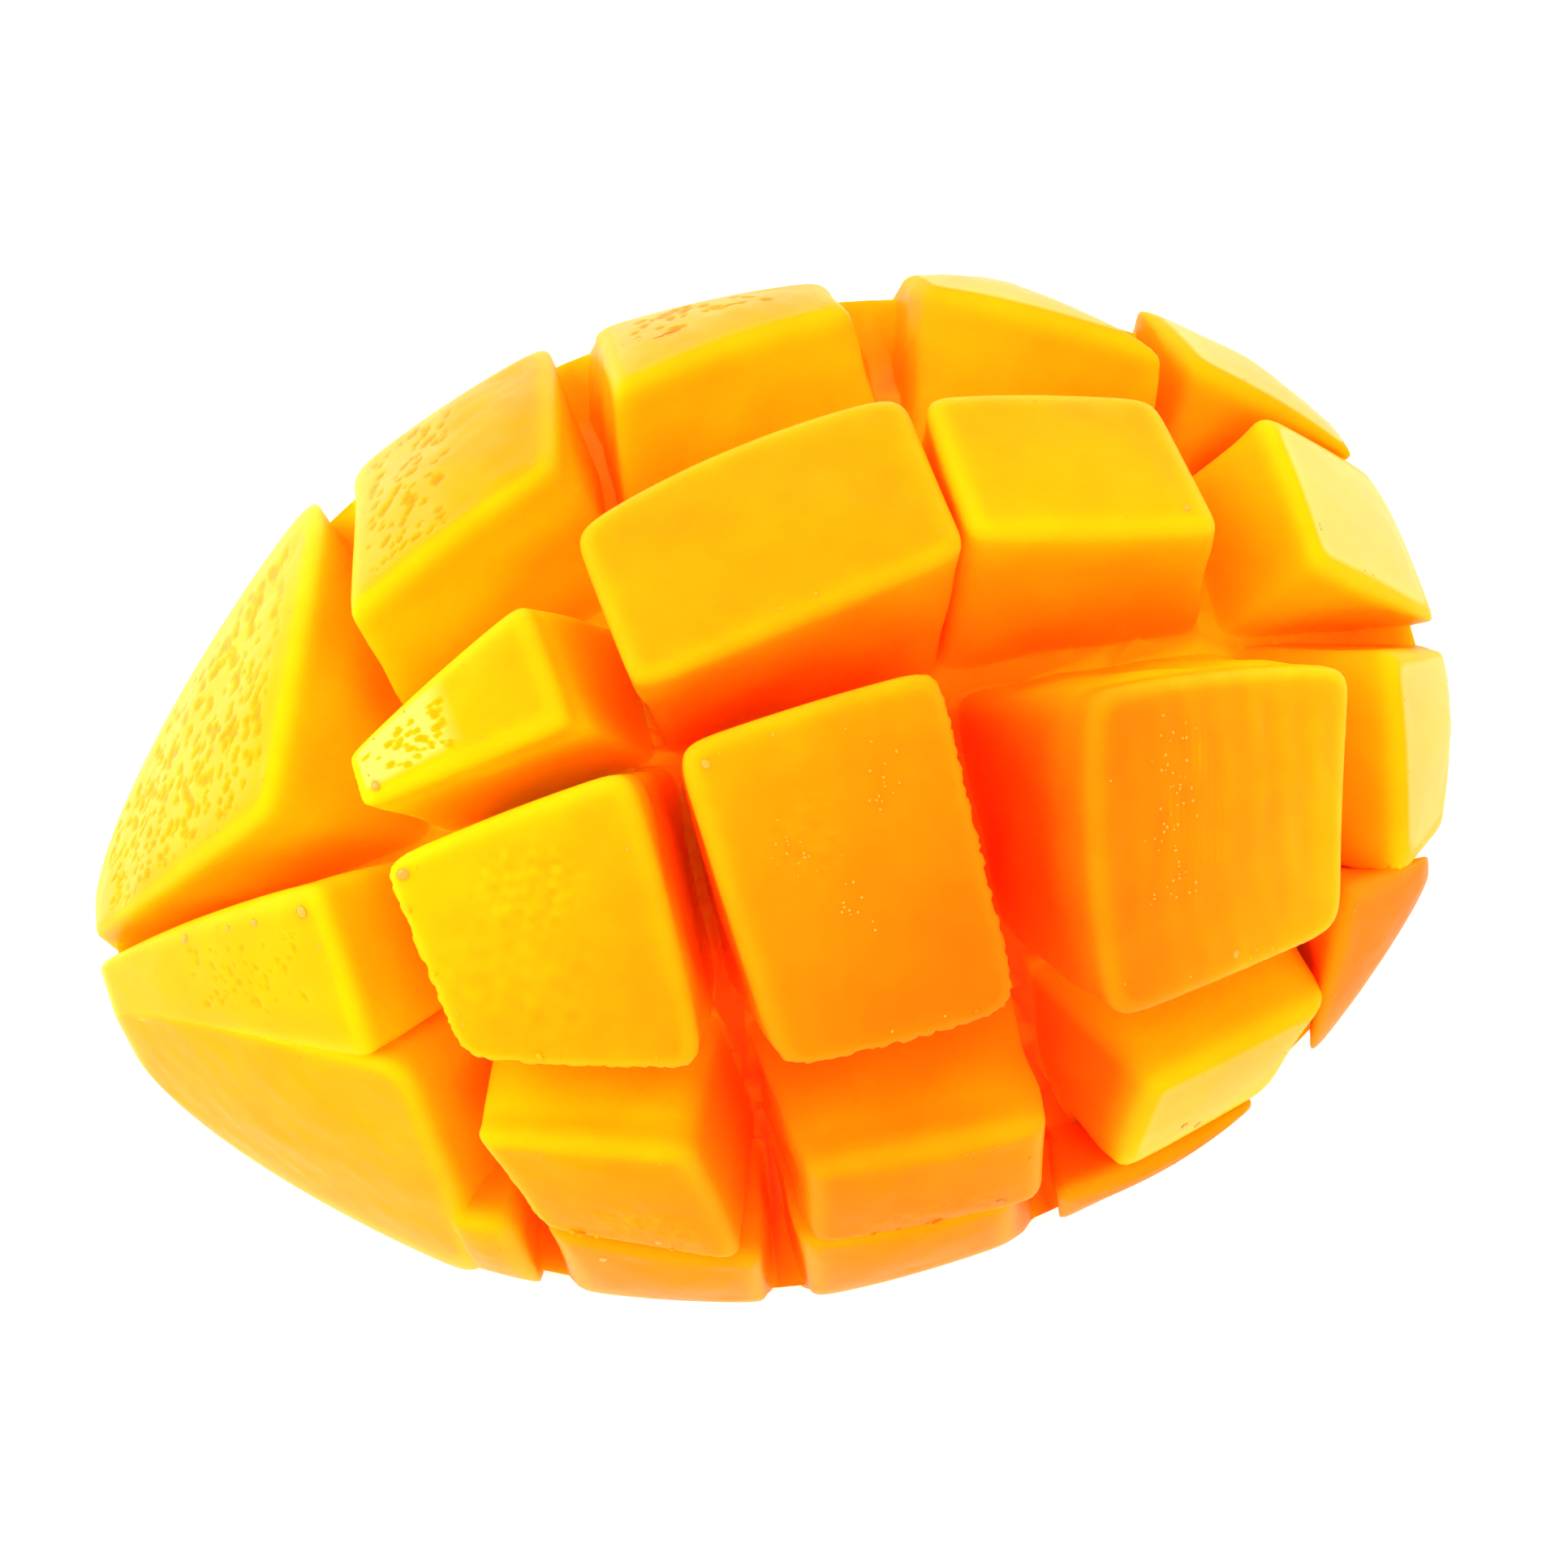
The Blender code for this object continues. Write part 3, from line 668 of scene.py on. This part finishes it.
def bed():
    """The uncut flesh and peel that hold the cubes together, with a low lip round the rim."""
    rings = []
    for step in range(BED_RINGS, 0, -1):
        rings.append(under_dome(*outline_places(turns, RIM_REACH * (step / BED_RINGS) ** 2)))
    x, y = outline_places(turns, RIM_REACH)
    lip = np.stack([x * LIP_SHARE, y * LIP_SHARE, np.full_like(x, LIP_HEIGHT)], axis=-1)
    skirt = lip * [1.0, 1.0, 0.0] - [0.0, 0.0, BELOW]
    return loft("flesh", [skirt, lip] + rings, np.array([0.0, 0.0, -BELOW]), under_dome(origin, origin)[0])


def hollow(name, spread):
    """The space under the turned-out peel, as a cutter that runs below the rim."""
    rings = []
    for step in range(HOLLOW_RINGS, 0, -1):
        level = sin(pi / 2.0 * step / HOLLOW_RINGS) ** 2
        x, y = outline_places(turns, level)
        height = np.full_like(x, (HOLLOW_HEIGHT + spread) * (1.0 - level) ** 0.5)
        plan = np.stack([x, y], axis=-1)
        plan = plan * HOLLOW_SHARE + unit(plan) * spread
        rings.append(np.concatenate([plan, height[:, None]], axis=-1))
    skirt = rings[0] * [1.0, 1.0, 0.0] - [0.0, 0.0, 2.0 * BELOW]
    below = np.array([0.0, 0.0, -2.0 * BELOW])
    return loft(name, [skirt] + rings, below, np.array([0.0, 0.0, HOLLOW_HEIGHT + spread]))


def slab(name, top):
    """Everything below a height."""
    bpy.ops.mesh.primitive_cube_add(size=1.0, location=(0.0, 0.0, (top - 2.0 * BELOW) * MM))
    item = bpy.context.object
    item.name = name
    item.scale = (4.0 * HALF_LENGTH * MM, 4.0 * HALF_LENGTH * MM, 4.0 * BELOW * MM)
    return item


def boolean(target, operation, operand):
    modifier = target.modifiers.new(operand.name, "BOOLEAN")
    modifier.operation = operation
    modifier.solver = "MANIFOLD"
    modifier.object = operand
    bpy.context.view_layer.objects.active = target
    bpy.ops.object.modifier_apply(modifier=modifier.name)
    bpy.data.objects.remove(operand, do_unlink=True)


flesh = bed()
bed_points = np.array([vertex.co for vertex in flesh.data.vertices]) / MM
from_heart = np.linalg.norm(bed_points[:, :2] - BED_HEART, axis=-1)
# Painted shade on the bed, lightening away from its heart
bed_values = np.tile([0.0, 0.0, BED_DEPTH, 0.0], (len(bed_points), 1))
bed_values[:, 0] = SHADED_BED_TONE + BED_YELLOWING * smooth_step(*BED_HEART_REACH, from_heart)
surface_points = [bed_points]
surface_values = [bed_values]
for number, name in enumerate(CUBES):
    points, faces, values = cube_mesh(name, number)
    boolean(flesh, "UNION", solid(name, points, faces))
    surface_points.append(points)
    surface_values.append(values)
uncored = flesh.copy()
uncored.data = flesh.data.copy()
bpy.context.scene.collection.objects.link(uncored)
boolean(flesh, "DIFFERENCE", hollow("hollow_cutter", PEEL_THICKNESS))
boolean(flesh, "DIFFERENCE", slab("floor_cutter", PEEL_THICKNESS))

# Joining the cubes keeps their points, so each point finds its values again
surface_points = np.concatenate(surface_points)
surface_values = np.concatenate(surface_values)
finder = KDTree(len(surface_points))
for index, point in enumerate(surface_points):
    finder.insert(point, index)
finder.balance()
nearest = [finder.find(vertex.co / MM)[1] for vertex in flesh.data.vertices]
for column, label in enumerate(("tone", "edge", "depth", "pale")):
    attribute = flesh.data.attributes.new(label, "FLOAT", "POINT")
    attribute.data.foreach_set("value", surface_values[nearest, column].astype(np.float32))


def centre(item):
    """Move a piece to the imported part's own middle."""
    item.data.transform(Matrix.Translation((CENTRE_SHIFT[0] * MM, CENTRE_SHIFT[1] * MM, 0.0)))


def smooth(item):
    """Shade a piece smooth, all but its sharp edges."""
    item.data.shade_smooth()
    item.data.set_sharp_from_angle(angle=radians(SMOOTH_UP_TO))


centre(flesh)
smooth(flesh)

# The colours of the flesh. Only its green changes, from full orange to lemon, and each
# colour is darker than it looks, because the light on it is strong
FLESH_RED = 0.98
FLESH_BLUE = 0.0015
FLESH_GREENS = ((0.2, 0.16), (0.4, 0.36), (0.6, 0.56), (0.8, 0.77), (1.0, 0.94))
STRONG_LIGHT = 1.42
# The whitest flesh colour: the flesh's own paleness near the peel and a painted reflection of the bright
# room
PALE_FLESH_AND_SHEEN = (1.0, 0.60, 0.23, 1.0)
MOTTLE_SCALE = 220.0
MOTTLE_TONE = 0.08
# How much yellower the painted edge highlight makes the flesh
PAINTED_EDGE_GLOW_TONE = 0.07
# Painted shade: the flesh is painted redder the deeper it lies down the walls and on the bed
PAINTED_DEPTH_SHADE = 0.006
GRAIN_SCALE = 1500.0
BUMP_HEIGHT = 0.1
FLESH_GLOW = 0.85
GLOW_REACH = 6.0


def add(nodes, kind, **settings):
    node = nodes.new(kind)
    for key, value in settings.items():
        setattr(node, key, value)
    return node


def start_material(name):
    """A new material with its nodes, links and shader, and the place on the piece."""
    material = bpy.data.materials.new(name)
    material.use_nodes = True
    nodes = material.node_tree.nodes
    place = add(nodes, "ShaderNodeTexCoord").outputs["Object"]
    return material, nodes, material.node_tree.links, nodes["Principled BSDF"], place


def noise(nodes, links, place, scale, detail=2.0):
    node = add(nodes, "ShaderNodeTexNoise")
    node.inputs["Scale"].default_value = scale
    node.inputs["Detail"].default_value = detail
    links.new(place, node.inputs["Vector"])
    return node.outputs["Fac"]


def two_colours(nodes, links, share, first, second, ends=(0.0, 1.0)):
    """A blend from one colour to another as the share goes from end to end."""
    ramp = add(nodes, "ShaderNodeValToRGB")
    for element, position, colour in zip(ramp.color_ramp.elements, ends, (first, second)):
        element.position = position
        element.color = colour
    links.new(share, ramp.inputs["Fac"])
    return ramp.outputs["Color"]


def bumps(nodes, links, height, strength, shader):
    node = add(nodes, "ShaderNodeBump")
    node.inputs["Strength"].default_value = strength
    node.inputs["Distance"].default_value = BUMP_HEIGHT * MM
    links.new(height, node.inputs["Height"])
    links.new(node.outputs["Normal"], shader.inputs["Normal"])


def surface_value(nodes, label):
    return add(nodes, "ShaderNodeAttribute", attribute_name=label).outputs["Fac"]


def maths(nodes, links, operation, first, second):
    node = add(nodes, "ShaderNodeMath", operation=operation)
    for socket, value in zip(node.inputs, (first, second)):
        if isinstance(value, float):
            socket.default_value = value
        else:
            links.new(value, socket)
    return node.outputs[0]


def to_linear(value):
    return value / 12.92 if value <= 0.04045 else ((value + 0.055) / 1.055) ** 2.4


def flesh_material(name, glow):
    """Wet flesh, whose light spreads inside it as far as the glow says."""
    material, nodes, links, shader, place = start_material(name)
    mottle = maths(nodes, links, "SUBTRACT", noise(nodes, links, place, MOTTLE_SCALE, 4.0), 0.5)
    mottle = maths(nodes, links, "MULTIPLY", mottle, MOTTLE_TONE)
    # The edge value paints a highlight along the rounded edges
    edge = maths(nodes, links, "MULTIPLY", surface_value(nodes, "edge"), PAINTED_EDGE_GLOW_TONE)
    # The depth value paints shade, redder deeper into the grooves
    depth = maths(nodes, links, "MULTIPLY", surface_value(nodes, "depth"), PAINTED_DEPTH_SHADE)
    tone = maths(nodes, links, "ADD", surface_value(nodes, "tone"), mottle)
    tone = maths(nodes, links, "ADD", tone, edge)
    tone = maths(nodes, links, "SUBTRACT", tone, depth)
    ramp = add(nodes, "ShaderNodeValToRGB")
    while len(ramp.color_ramp.elements) < len(FLESH_GREENS):
        ramp.color_ramp.elements.new(0.5)
    for element, (position, green) in zip(ramp.color_ramp.elements, FLESH_GREENS):
        element.position = position
        element.color = (FLESH_RED, to_linear(green) / STRONG_LIGHT, FLESH_BLUE, 1.0)
    links.new(tone, ramp.inputs["Fac"])
    # Whitening by the pale value: partly the flesh's own paleness and partly a painted reflection
    whiten = add(nodes, "ShaderNodeMix", data_type="RGBA")
    links.new(surface_value(nodes, "pale"), whiten.inputs["Factor"])
    links.new(ramp.outputs["Color"], whiten.inputs["A"])
    whiten.inputs["B"].default_value = PALE_FLESH_AND_SHEEN
    links.new(whiten.outputs["Result"], shader.inputs["Base Color"])
    shader.subsurface_method = "BURLEY"
    shader.inputs["Subsurface Weight"].default_value = glow
    shader.inputs["Subsurface Radius"].default_value = (1.0, 0.4, 0.06)
    shader.inputs["Subsurface Scale"].default_value = GLOW_REACH * MM
    shader.inputs["IOR"].default_value = 1.38
    shader.inputs["Specular IOR Level"].default_value = 0.06
    shader.inputs["Specular Tint"].default_value = (1.0, 0.6, 0.04, 1.0)
    grain = noise(nodes, links, place, GRAIN_SCALE, 3.0)
    roughness = maths(nodes, links, "MULTIPLY", grain, 0.2)
    links.new(maths(nodes, links, "ADD", roughness, 0.3), shader.inputs["Roughness"])
    bumps(nodes, links, grain, 0.25, shader)
    return material


flesh.data.materials.clear()
flesh.data.materials.append(flesh_material("wet_mango_flesh", FLESH_GLOW))
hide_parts("mango_cheek")
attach(flesh, "root")

# The peel. A thin leathery skin, golden with an orange blush and pale freckles, that
# has grown on to the flesh. Pushing it up from below turned it inside out, so it
# lines the hollow and its edge lies flat on the table.
peel = uncored
peel.name = "peel"
peel_zone = hollow("peel_zone", PEEL_THICKNESS)
boolean(peel_zone, "UNION", slab("rim_zone", PEEL_THICKNESS))
boolean(peel, "INTERSECT", peel_zone)
boolean(peel, "DIFFERENCE", hollow("hollow_cutter", 0.0))
boolean(peel, "DIFFERENCE", slab("floor_cutter", 0.0))
centre(peel)
smooth(peel)
GOLDEN = (0.90, 0.47, 0.03, 1.0)
BLUSH = (0.80, 0.20, 0.02, 1.0)
FRECKLE = (0.93, 0.66, 0.20, 1.0)


def peel_material():
    material, nodes, links, shader, place = start_material("freckled_peel")
    skin = two_colours(nodes, links, noise(nodes, links, place, 30.0, 3.0), GOLDEN, BLUSH, (0.38, 0.68))
    freckles = add(nodes, "ShaderNodeTexVoronoi")
    freckles.inputs["Scale"].default_value = 420.0
    links.new(place, freckles.inputs["Vector"])
    spot = add(nodes, "ShaderNodeMapRange")
    spot.inputs["From Min"].default_value = 0.20
    spot.inputs["From Max"].default_value = 0.12
    links.new(freckles.outputs["Distance"], spot.inputs["Value"])
    freckled = add(nodes, "ShaderNodeMix", data_type="RGBA")
    links.new(spot.outputs["Result"], freckled.inputs["Factor"])
    links.new(skin, freckled.inputs["A"])
    freckled.inputs["B"].default_value = FRECKLE
    links.new(freckled.outputs["Result"], shader.inputs["Base Color"])
    shader.inputs["Roughness"].default_value = 0.42
    shader.inputs["Subsurface Weight"].default_value = 0.15
    shader.inputs["Subsurface Radius"].default_value = (1.0, 0.4, 0.1)
    shader.inputs["Subsurface Scale"].default_value = 1.0 * MM
    bumps(nodes, links, spot.outputs["Result"], 0.3, shader)
    return material


peel.data.materials.clear()
peel.data.materials.append(peel_material())
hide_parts("mango_cheek")
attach(peel, "root")

# The juice. Cut ripe fruit weeps, and the juice stands in small clear beads on the
# faces and along the edges, most of them where the fibres were cut across.
BEADS = (
    ("middle_1", -0.95, -0.95, 0.50), ("middle_2", -0.97, -0.95, 0.35), ("middle_3", 0.10, 0.95, 0.30),
    ("middle_0", -0.20, -0.93, 0.40), ("middle_0", 0.20, -0.95, 0.28), ("middle_0", 0.45, -0.93, 0.36),
    ("middle_0", 0.90, -0.95, 0.50), ("front_1", -0.70, -0.60, 0.35), ("back_2", -0.80, 0.10, 0.25),
    ("upper_1", -0.90, 0.90, 0.40), ("upper_3", 0.90, 0.90, 0.25), ("lower_1", 0.20, 0.92, 0.28),
)
STREAK_CUBE = "middle_3"
STREAK_BEADS = 60
CLUSTER_CUBE = "middle_2"
CLUSTER_MIDDLES = ((-0.45, -0.25), (0.45, -0.45), (-0.1, 0.25))
CLUSTER_BEADS = 15
SPECKS_PER_CUBE = 5
SPECK_SIZES = (0.06, 0.14)
SPECK_PLACE = 0.97
BEAD_RINGS = 6
BEAD_SIDES = 10
BEAD_FLATNESS = 0.4
BEAD_STRETCH = 1.25
BEAD_SUNK = 0.35
BEAD_FOOT = 0.4
JUICE_DEEP = (1.0, 0.19, 0.002, 1.0)
JUICE_LIGHT = (1.0, 0.32, 0.015, 1.0)


def on_face(name, across, down):
    """A place on a cube's face, and the direction out of it."""
    face_across, face_down, face, normal = FACES[name]
    closest = np.argmin((face_across - across) ** 2 + (face_down - down) ** 2)
    return face.reshape(-1, 3)[closest], normal


def bead(middle, out, radius, flatness, lean):
    """A low drop: rings of points from its foot up to its top."""
    side = unit(np.cross(out, [cos(lean), sin(lean), 0.3]))
    ahead = np.cross(out, side)
    turn = 2.0 * pi * np.arange(BEAD_SIDES) / BEAD_SIDES
    points = []
    for ring in range(BEAD_RINGS):
        rise = -BEAD_SUNK + (1.0 + BEAD_SUNK) * sin(pi / 2.0 * ring / BEAD_RINGS)
        wide = radius * cos(pi / 2.0 * ring / BEAD_RINGS)
        circle = np.cos(turn)[:, None] * side * BEAD_STRETCH + np.sin(turn)[:, None] * ahead
        points.append(middle + out * rise * radius * flatness + circle * wide)
    points.append((middle + out * radius * flatness)[None])
    points.append((middle - out * BEAD_FOOT * radius * flatness)[None])
    faces = []
    for ring in range(BEAD_RINGS - 1):
        for step in range(BEAD_SIDES):
            low, after = ring * BEAD_SIDES + step, ring * BEAD_SIDES + (step + 1) % BEAD_SIDES
            faces.append((low, after, after + BEAD_SIDES, low + BEAD_SIDES))
    last = (BEAD_RINGS - 1) * BEAD_SIDES
    top = BEAD_RINGS * BEAD_SIDES
    for step in range(BEAD_SIDES):
        after = (step + 1) % BEAD_SIDES
        faces.append((last + step, last + after, top))
        faces.append((after, step, top + 1))
    return np.concatenate(points), faces


def joined(name, shapes):
    """One object from many small closed shapes."""
    points = []
    faces = []
    for shape_points, shape_faces in shapes:
        first = sum(len(earlier) for earlier in points)
        points.append(shape_points)
        faces += [tuple(number + first for number in face) for face in shape_faces]
    item = solid(name, np.concatenate(points), faces)
    centre(item)
    item.data.shade_smooth()
    return item


draw = np.random.default_rng(7)
places = list(BEADS)
for _ in range(STREAK_BEADS):
    across, down = draw.normal(-0.42, 0.13), draw.uniform(-0.85, 0.45)
    places.append((STREAK_CUBE, across, down, draw.uniform(*SPECK_SIZES)))
for middle_x, middle_y in CLUSTER_MIDDLES:
    for _ in range(CLUSTER_BEADS):
        across, down = draw.normal(middle_x, 0.09), draw.normal(middle_y, 0.13)
        places.append((CLUSTER_CUBE, across, down, draw.uniform(0.06, 0.13)))
for name in CUBES:
    for _ in range(SPECKS_PER_CUBE):
        beside_edge = draw.choice([-SPECK_PLACE, SPECK_PLACE])
        along = draw.uniform(-0.95, 0.95)
        across, down = (beside_edge, along) if draw.random() < 0.5 else (along, beside_edge)
        places.append((name, across, down, draw.uniform(*SPECK_SIZES)))
beads = []
for name, across, down, radius in places:
    spot, out = on_face(name, across, down)
    beads.append(bead(spot, out, radius, BEAD_FLATNESS, draw.uniform(0.0, pi)))
juice = joined("juice", beads)


def juice_material():
    material, nodes, links, shader, place = start_material("clear_juice")
    body = noise(nodes, links, place, 120.0)
    links.new(two_colours(nodes, links, body, JUICE_DEEP, JUICE_LIGHT), shader.inputs["Base Color"])
    shader.inputs["Roughness"].default_value = 0.04
    shader.inputs["IOR"].default_value = 1.36
    return material


juice.data.materials.append(juice_material())
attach(juice, "root")

# The torn bits. Small rags and grains of the same flesh that hang where the knife tore
# the flesh instead of slicing it, along the lower edges of the middle cubes.
RAG_EDGES = (
    ("middle_1", 26), ("middle_2", 26), ("lower_1", 34), ("lower_2", 34), ("upper_1", 8), ("middle_3", 8),
)
FRONT_EDGE_SHARE = 0.75
TORN_LEFT_FROM = 0.2
RAG_SIZES = (0.12, 0.32)
RAG_DROP = 1.1
RAG_STAND_OUT = 0.1
RAG_YELLOWING = (0.02, 0.10)
RAG_FLATNESS = 0.9
RAG_LEAN = 1.7
LUMP_LENGTH = 2.4
LUMP_HEIGHT = 0.35


def rag(middle, out, size, number):
    """A lumpy grain of flesh."""
    points, faces = bead(middle, out, size, RAG_FLATNESS, number * RAG_LEAN)
    lump = waves(points, size * LUMP_LENGTH, number + LUMP_SEED)
    return points + unit(points - middle) * (LUMP_HEIGHT * size * lump)[:, None], faces


rags = []
rag_tones = []
for name, count in RAG_EDGES:
    tone, rightward, frontward = TONES[name]
    for number in range(count):
        along = draw.uniform(-0.95, 0.95)
        if draw.random() < FRONT_EDGE_SHARE:
            across, down = along, 1.0
        else:
            across, down = (-1.0 if TORN[name][0] > TORN_LEFT_FROM else 1.0), along
        spot, out = on_face(name, across, down)
        spot = spot - out * draw.uniform(0.0, RAG_DROP) + unit(spot * [1.0, 1.0, 0.0]) * RAG_STAND_OUT
        rags.append(rag(spot, out, draw.uniform(*RAG_SIZES), number))
        rag_tone = tone + rightward * across + frontward * down + draw.uniform(*RAG_YELLOWING)
        rag_tones += [rag_tone] * len(rags[-1][0])
torn_bits = joined("torn_bits", rags)
tone_values = torn_bits.data.attributes.new("tone", "FLOAT", "POINT").data
tone_values.foreach_set("value", np.array(rag_tones, np.float32))
torn_bits.data.materials.append(flesh_material("torn_flesh", 0.0))
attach(torn_bits, "root")

# The fibres. Four short brown threads of woody fibre that came off the stone with the
# flesh. The juice holds them to the faces of the cubes.
FIBRES = (
    ("lower_3", (-0.37, 0.62), (-0.30, 0.50), 0.10),
    ("lower_3", (-0.04, 0.86), (0.06, 0.80), 0.08),
    ("lower_2", (0.66, 0.74), (0.78, 0.84), 0.16),
    ("back_2", (-0.70, 0.30), (-0.40, 0.22), 0.10),
)
FIBRE_STEPS = 8
FIBRE_SIDES = 6
FIBRE_TIP = 0.25
FIBRE_WANDER = 0.02
FIBRE_WAVES = 6.0
FIBRE_DARK = (0.30, 0.09, 0.01, 1.0)
FIBRE_LIGHT = (0.62, 0.22, 0.02, 1.0)


def fibre(name, start, end, radius):
    """A thread that lies along a face, thinner towards its ends."""
    points = []
    turn = 2.0 * pi * np.arange(FIBRE_SIDES) / FIBRE_SIDES
    ahead = unit(on_face(name, *end)[0] - on_face(name, *start)[0] + 1e-6)
    for step in range(FIBRE_STEPS + 1):
        share = step / FIBRE_STEPS
        across = start[0] + (end[0] - start[0]) * share
        down = start[1] + (end[1] - start[1]) * share + FIBRE_WANDER * sin(FIBRE_WAVES * share)
        middle, out = on_face(name, across, down)
        side = np.cross(ahead, out)
        wide = radius * (FIBRE_TIP + (1.0 - FIBRE_TIP) * sin(pi * share))
        points.append(middle + wide * (np.cos(turn)[:, None] * side + np.sin(turn)[:, None] * out))
    sides = np.arange(FIBRE_SIDES)
    faces = [tuple(sides[::-1]), tuple(FIBRE_STEPS * FIBRE_SIDES + sides)]
    for ring in range(FIBRE_STEPS):
        for step in range(FIBRE_SIDES):
            low, after = ring * FIBRE_SIDES + step, ring * FIBRE_SIDES + (step + 1) % FIBRE_SIDES
            faces.append((low, after, after + FIBRE_SIDES, low + FIBRE_SIDES))
    return np.concatenate(points), faces


fibres = joined("fibres", [fibre(*row) for row in FIBRES])


def fibre_material():
    material, nodes, links, shader, place = start_material("brown_fibre")
    stain = noise(nodes, links, place, 700.0)
    links.new(two_colours(nodes, links, stain, FIBRE_DARK, FIBRE_LIGHT), shader.inputs["Base Color"])
    shader.inputs["Roughness"].default_value = 0.5
    return material


fibres.data.materials.append(fibre_material())
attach(fibres, "root")

# The floor. A plain white table that the fruit stands on, painted and dull. Its top is
# a hair below the rim, so that the two don't lie in one plane.
FLOOR_SIZE = 4000.0
FLOOR_GAP = 0.2
bpy.ops.mesh.primitive_plane_add(size=FLOOR_SIZE * MM, location=(0.0, 0.0, -FLOOR_GAP * MM))
floor = bpy.context.object
floor.name = "floor"
floor_material = bpy.data.materials.new("white_table")
floor_material.use_nodes = True
floor_shader = floor_material.node_tree.nodes["Principled BSDF"]
floor_shader.inputs["Base Color"].default_value = (0.97, 0.97, 0.97, 1.0)
floor_shader.inputs["Roughness"].default_value = 0.9
floor.data.materials.append(floor_material)

# The light. A bright white room, a little darker straight overhead, and a large soft
# lamp from the back left.
ROOM_LIGHT = (1.95, 1.95, 1.95, 1.0)
OVERHEAD_LIGHT = (1.7, 1.7, 1.7, 1.0)
OVERHEAD_FROM = (0.80, 0.97)
LAMP_SIZE = 500.0
LAMP_POWER = 3.25
LAMP_PLACE = Vector((-450.0, 350.0, 500.0))
LAMP_AIM = Vector((0.0, 0.0, 20.0))
world = bpy.data.worlds.new("pale_room")
bpy.context.scene.world = world
world.use_nodes = True
room_nodes = world.node_tree.nodes
room_links = world.node_tree.links
split = add(room_nodes, "ShaderNodeSeparateXYZ")
room_links.new(add(room_nodes, "ShaderNodeTexCoord").outputs["Generated"], split.inputs["Vector"])
room = two_colours(room_nodes, room_links, split.outputs["Z"], ROOM_LIGHT, OVERHEAD_LIGHT, OVERHEAD_FROM)
room_links.new(room, room_nodes["Background"].inputs["Color"])

lamp = bpy.data.lights.new("window_light", "AREA")
lamp.shape = "DISK"
lamp.size = LAMP_SIZE * MM
lamp.energy = LAMP_POWER
lamp_object = bpy.data.objects.new("window_light", lamp)
bpy.context.scene.collection.objects.link(lamp_object)
lamp_object.location = LAMP_PLACE * MM
lamp_object.rotation_euler = (LAMP_AIM - LAMP_PLACE).to_track_quat("-Z", "Y").to_euler()

# The camera. It looks almost straight down, with the fruit's pointed end at the left,
# at a place a little beside the middle of the dome.
AZIMUTH = radians(-16.0)
ELEVATION = radians(84.0)
DISTANCE = 330.0
FOCAL_LENGTH = 89.8
SENSOR_WIDTH = 36.0
NEAREST_SEEN = 10.0
DOME_MIDDLE = Vector((0.22, -0.215, 15.0))
AIM_RIGHT = 1.096
AIM_UP = -0.205
back = Vector((sin(AZIMUTH) * cos(ELEVATION), -cos(AZIMUTH) * cos(ELEVATION), sin(ELEVATION)))
right = Vector((cos(AZIMUTH), sin(AZIMUTH), 0.0))
up = back.cross(right)
target = DOME_MIDDLE + right * AIM_RIGHT + up * AIM_UP
lens = bpy.data.cameras.new("camera")
lens.lens = FOCAL_LENGTH
lens.sensor_width = SENSOR_WIDTH
lens.clip_start = NEAREST_SEEN * MM
camera = bpy.data.objects.new("camera", lens)
bpy.context.scene.collection.objects.link(camera)
camera.location = (target + back * DISTANCE) * MM
camera.rotation_euler = back.to_track_quat("Z", "Y").to_euler()
bpy.context.scene.camera = camera
bpy.context.scene.view_settings.view_transform = "Standard"
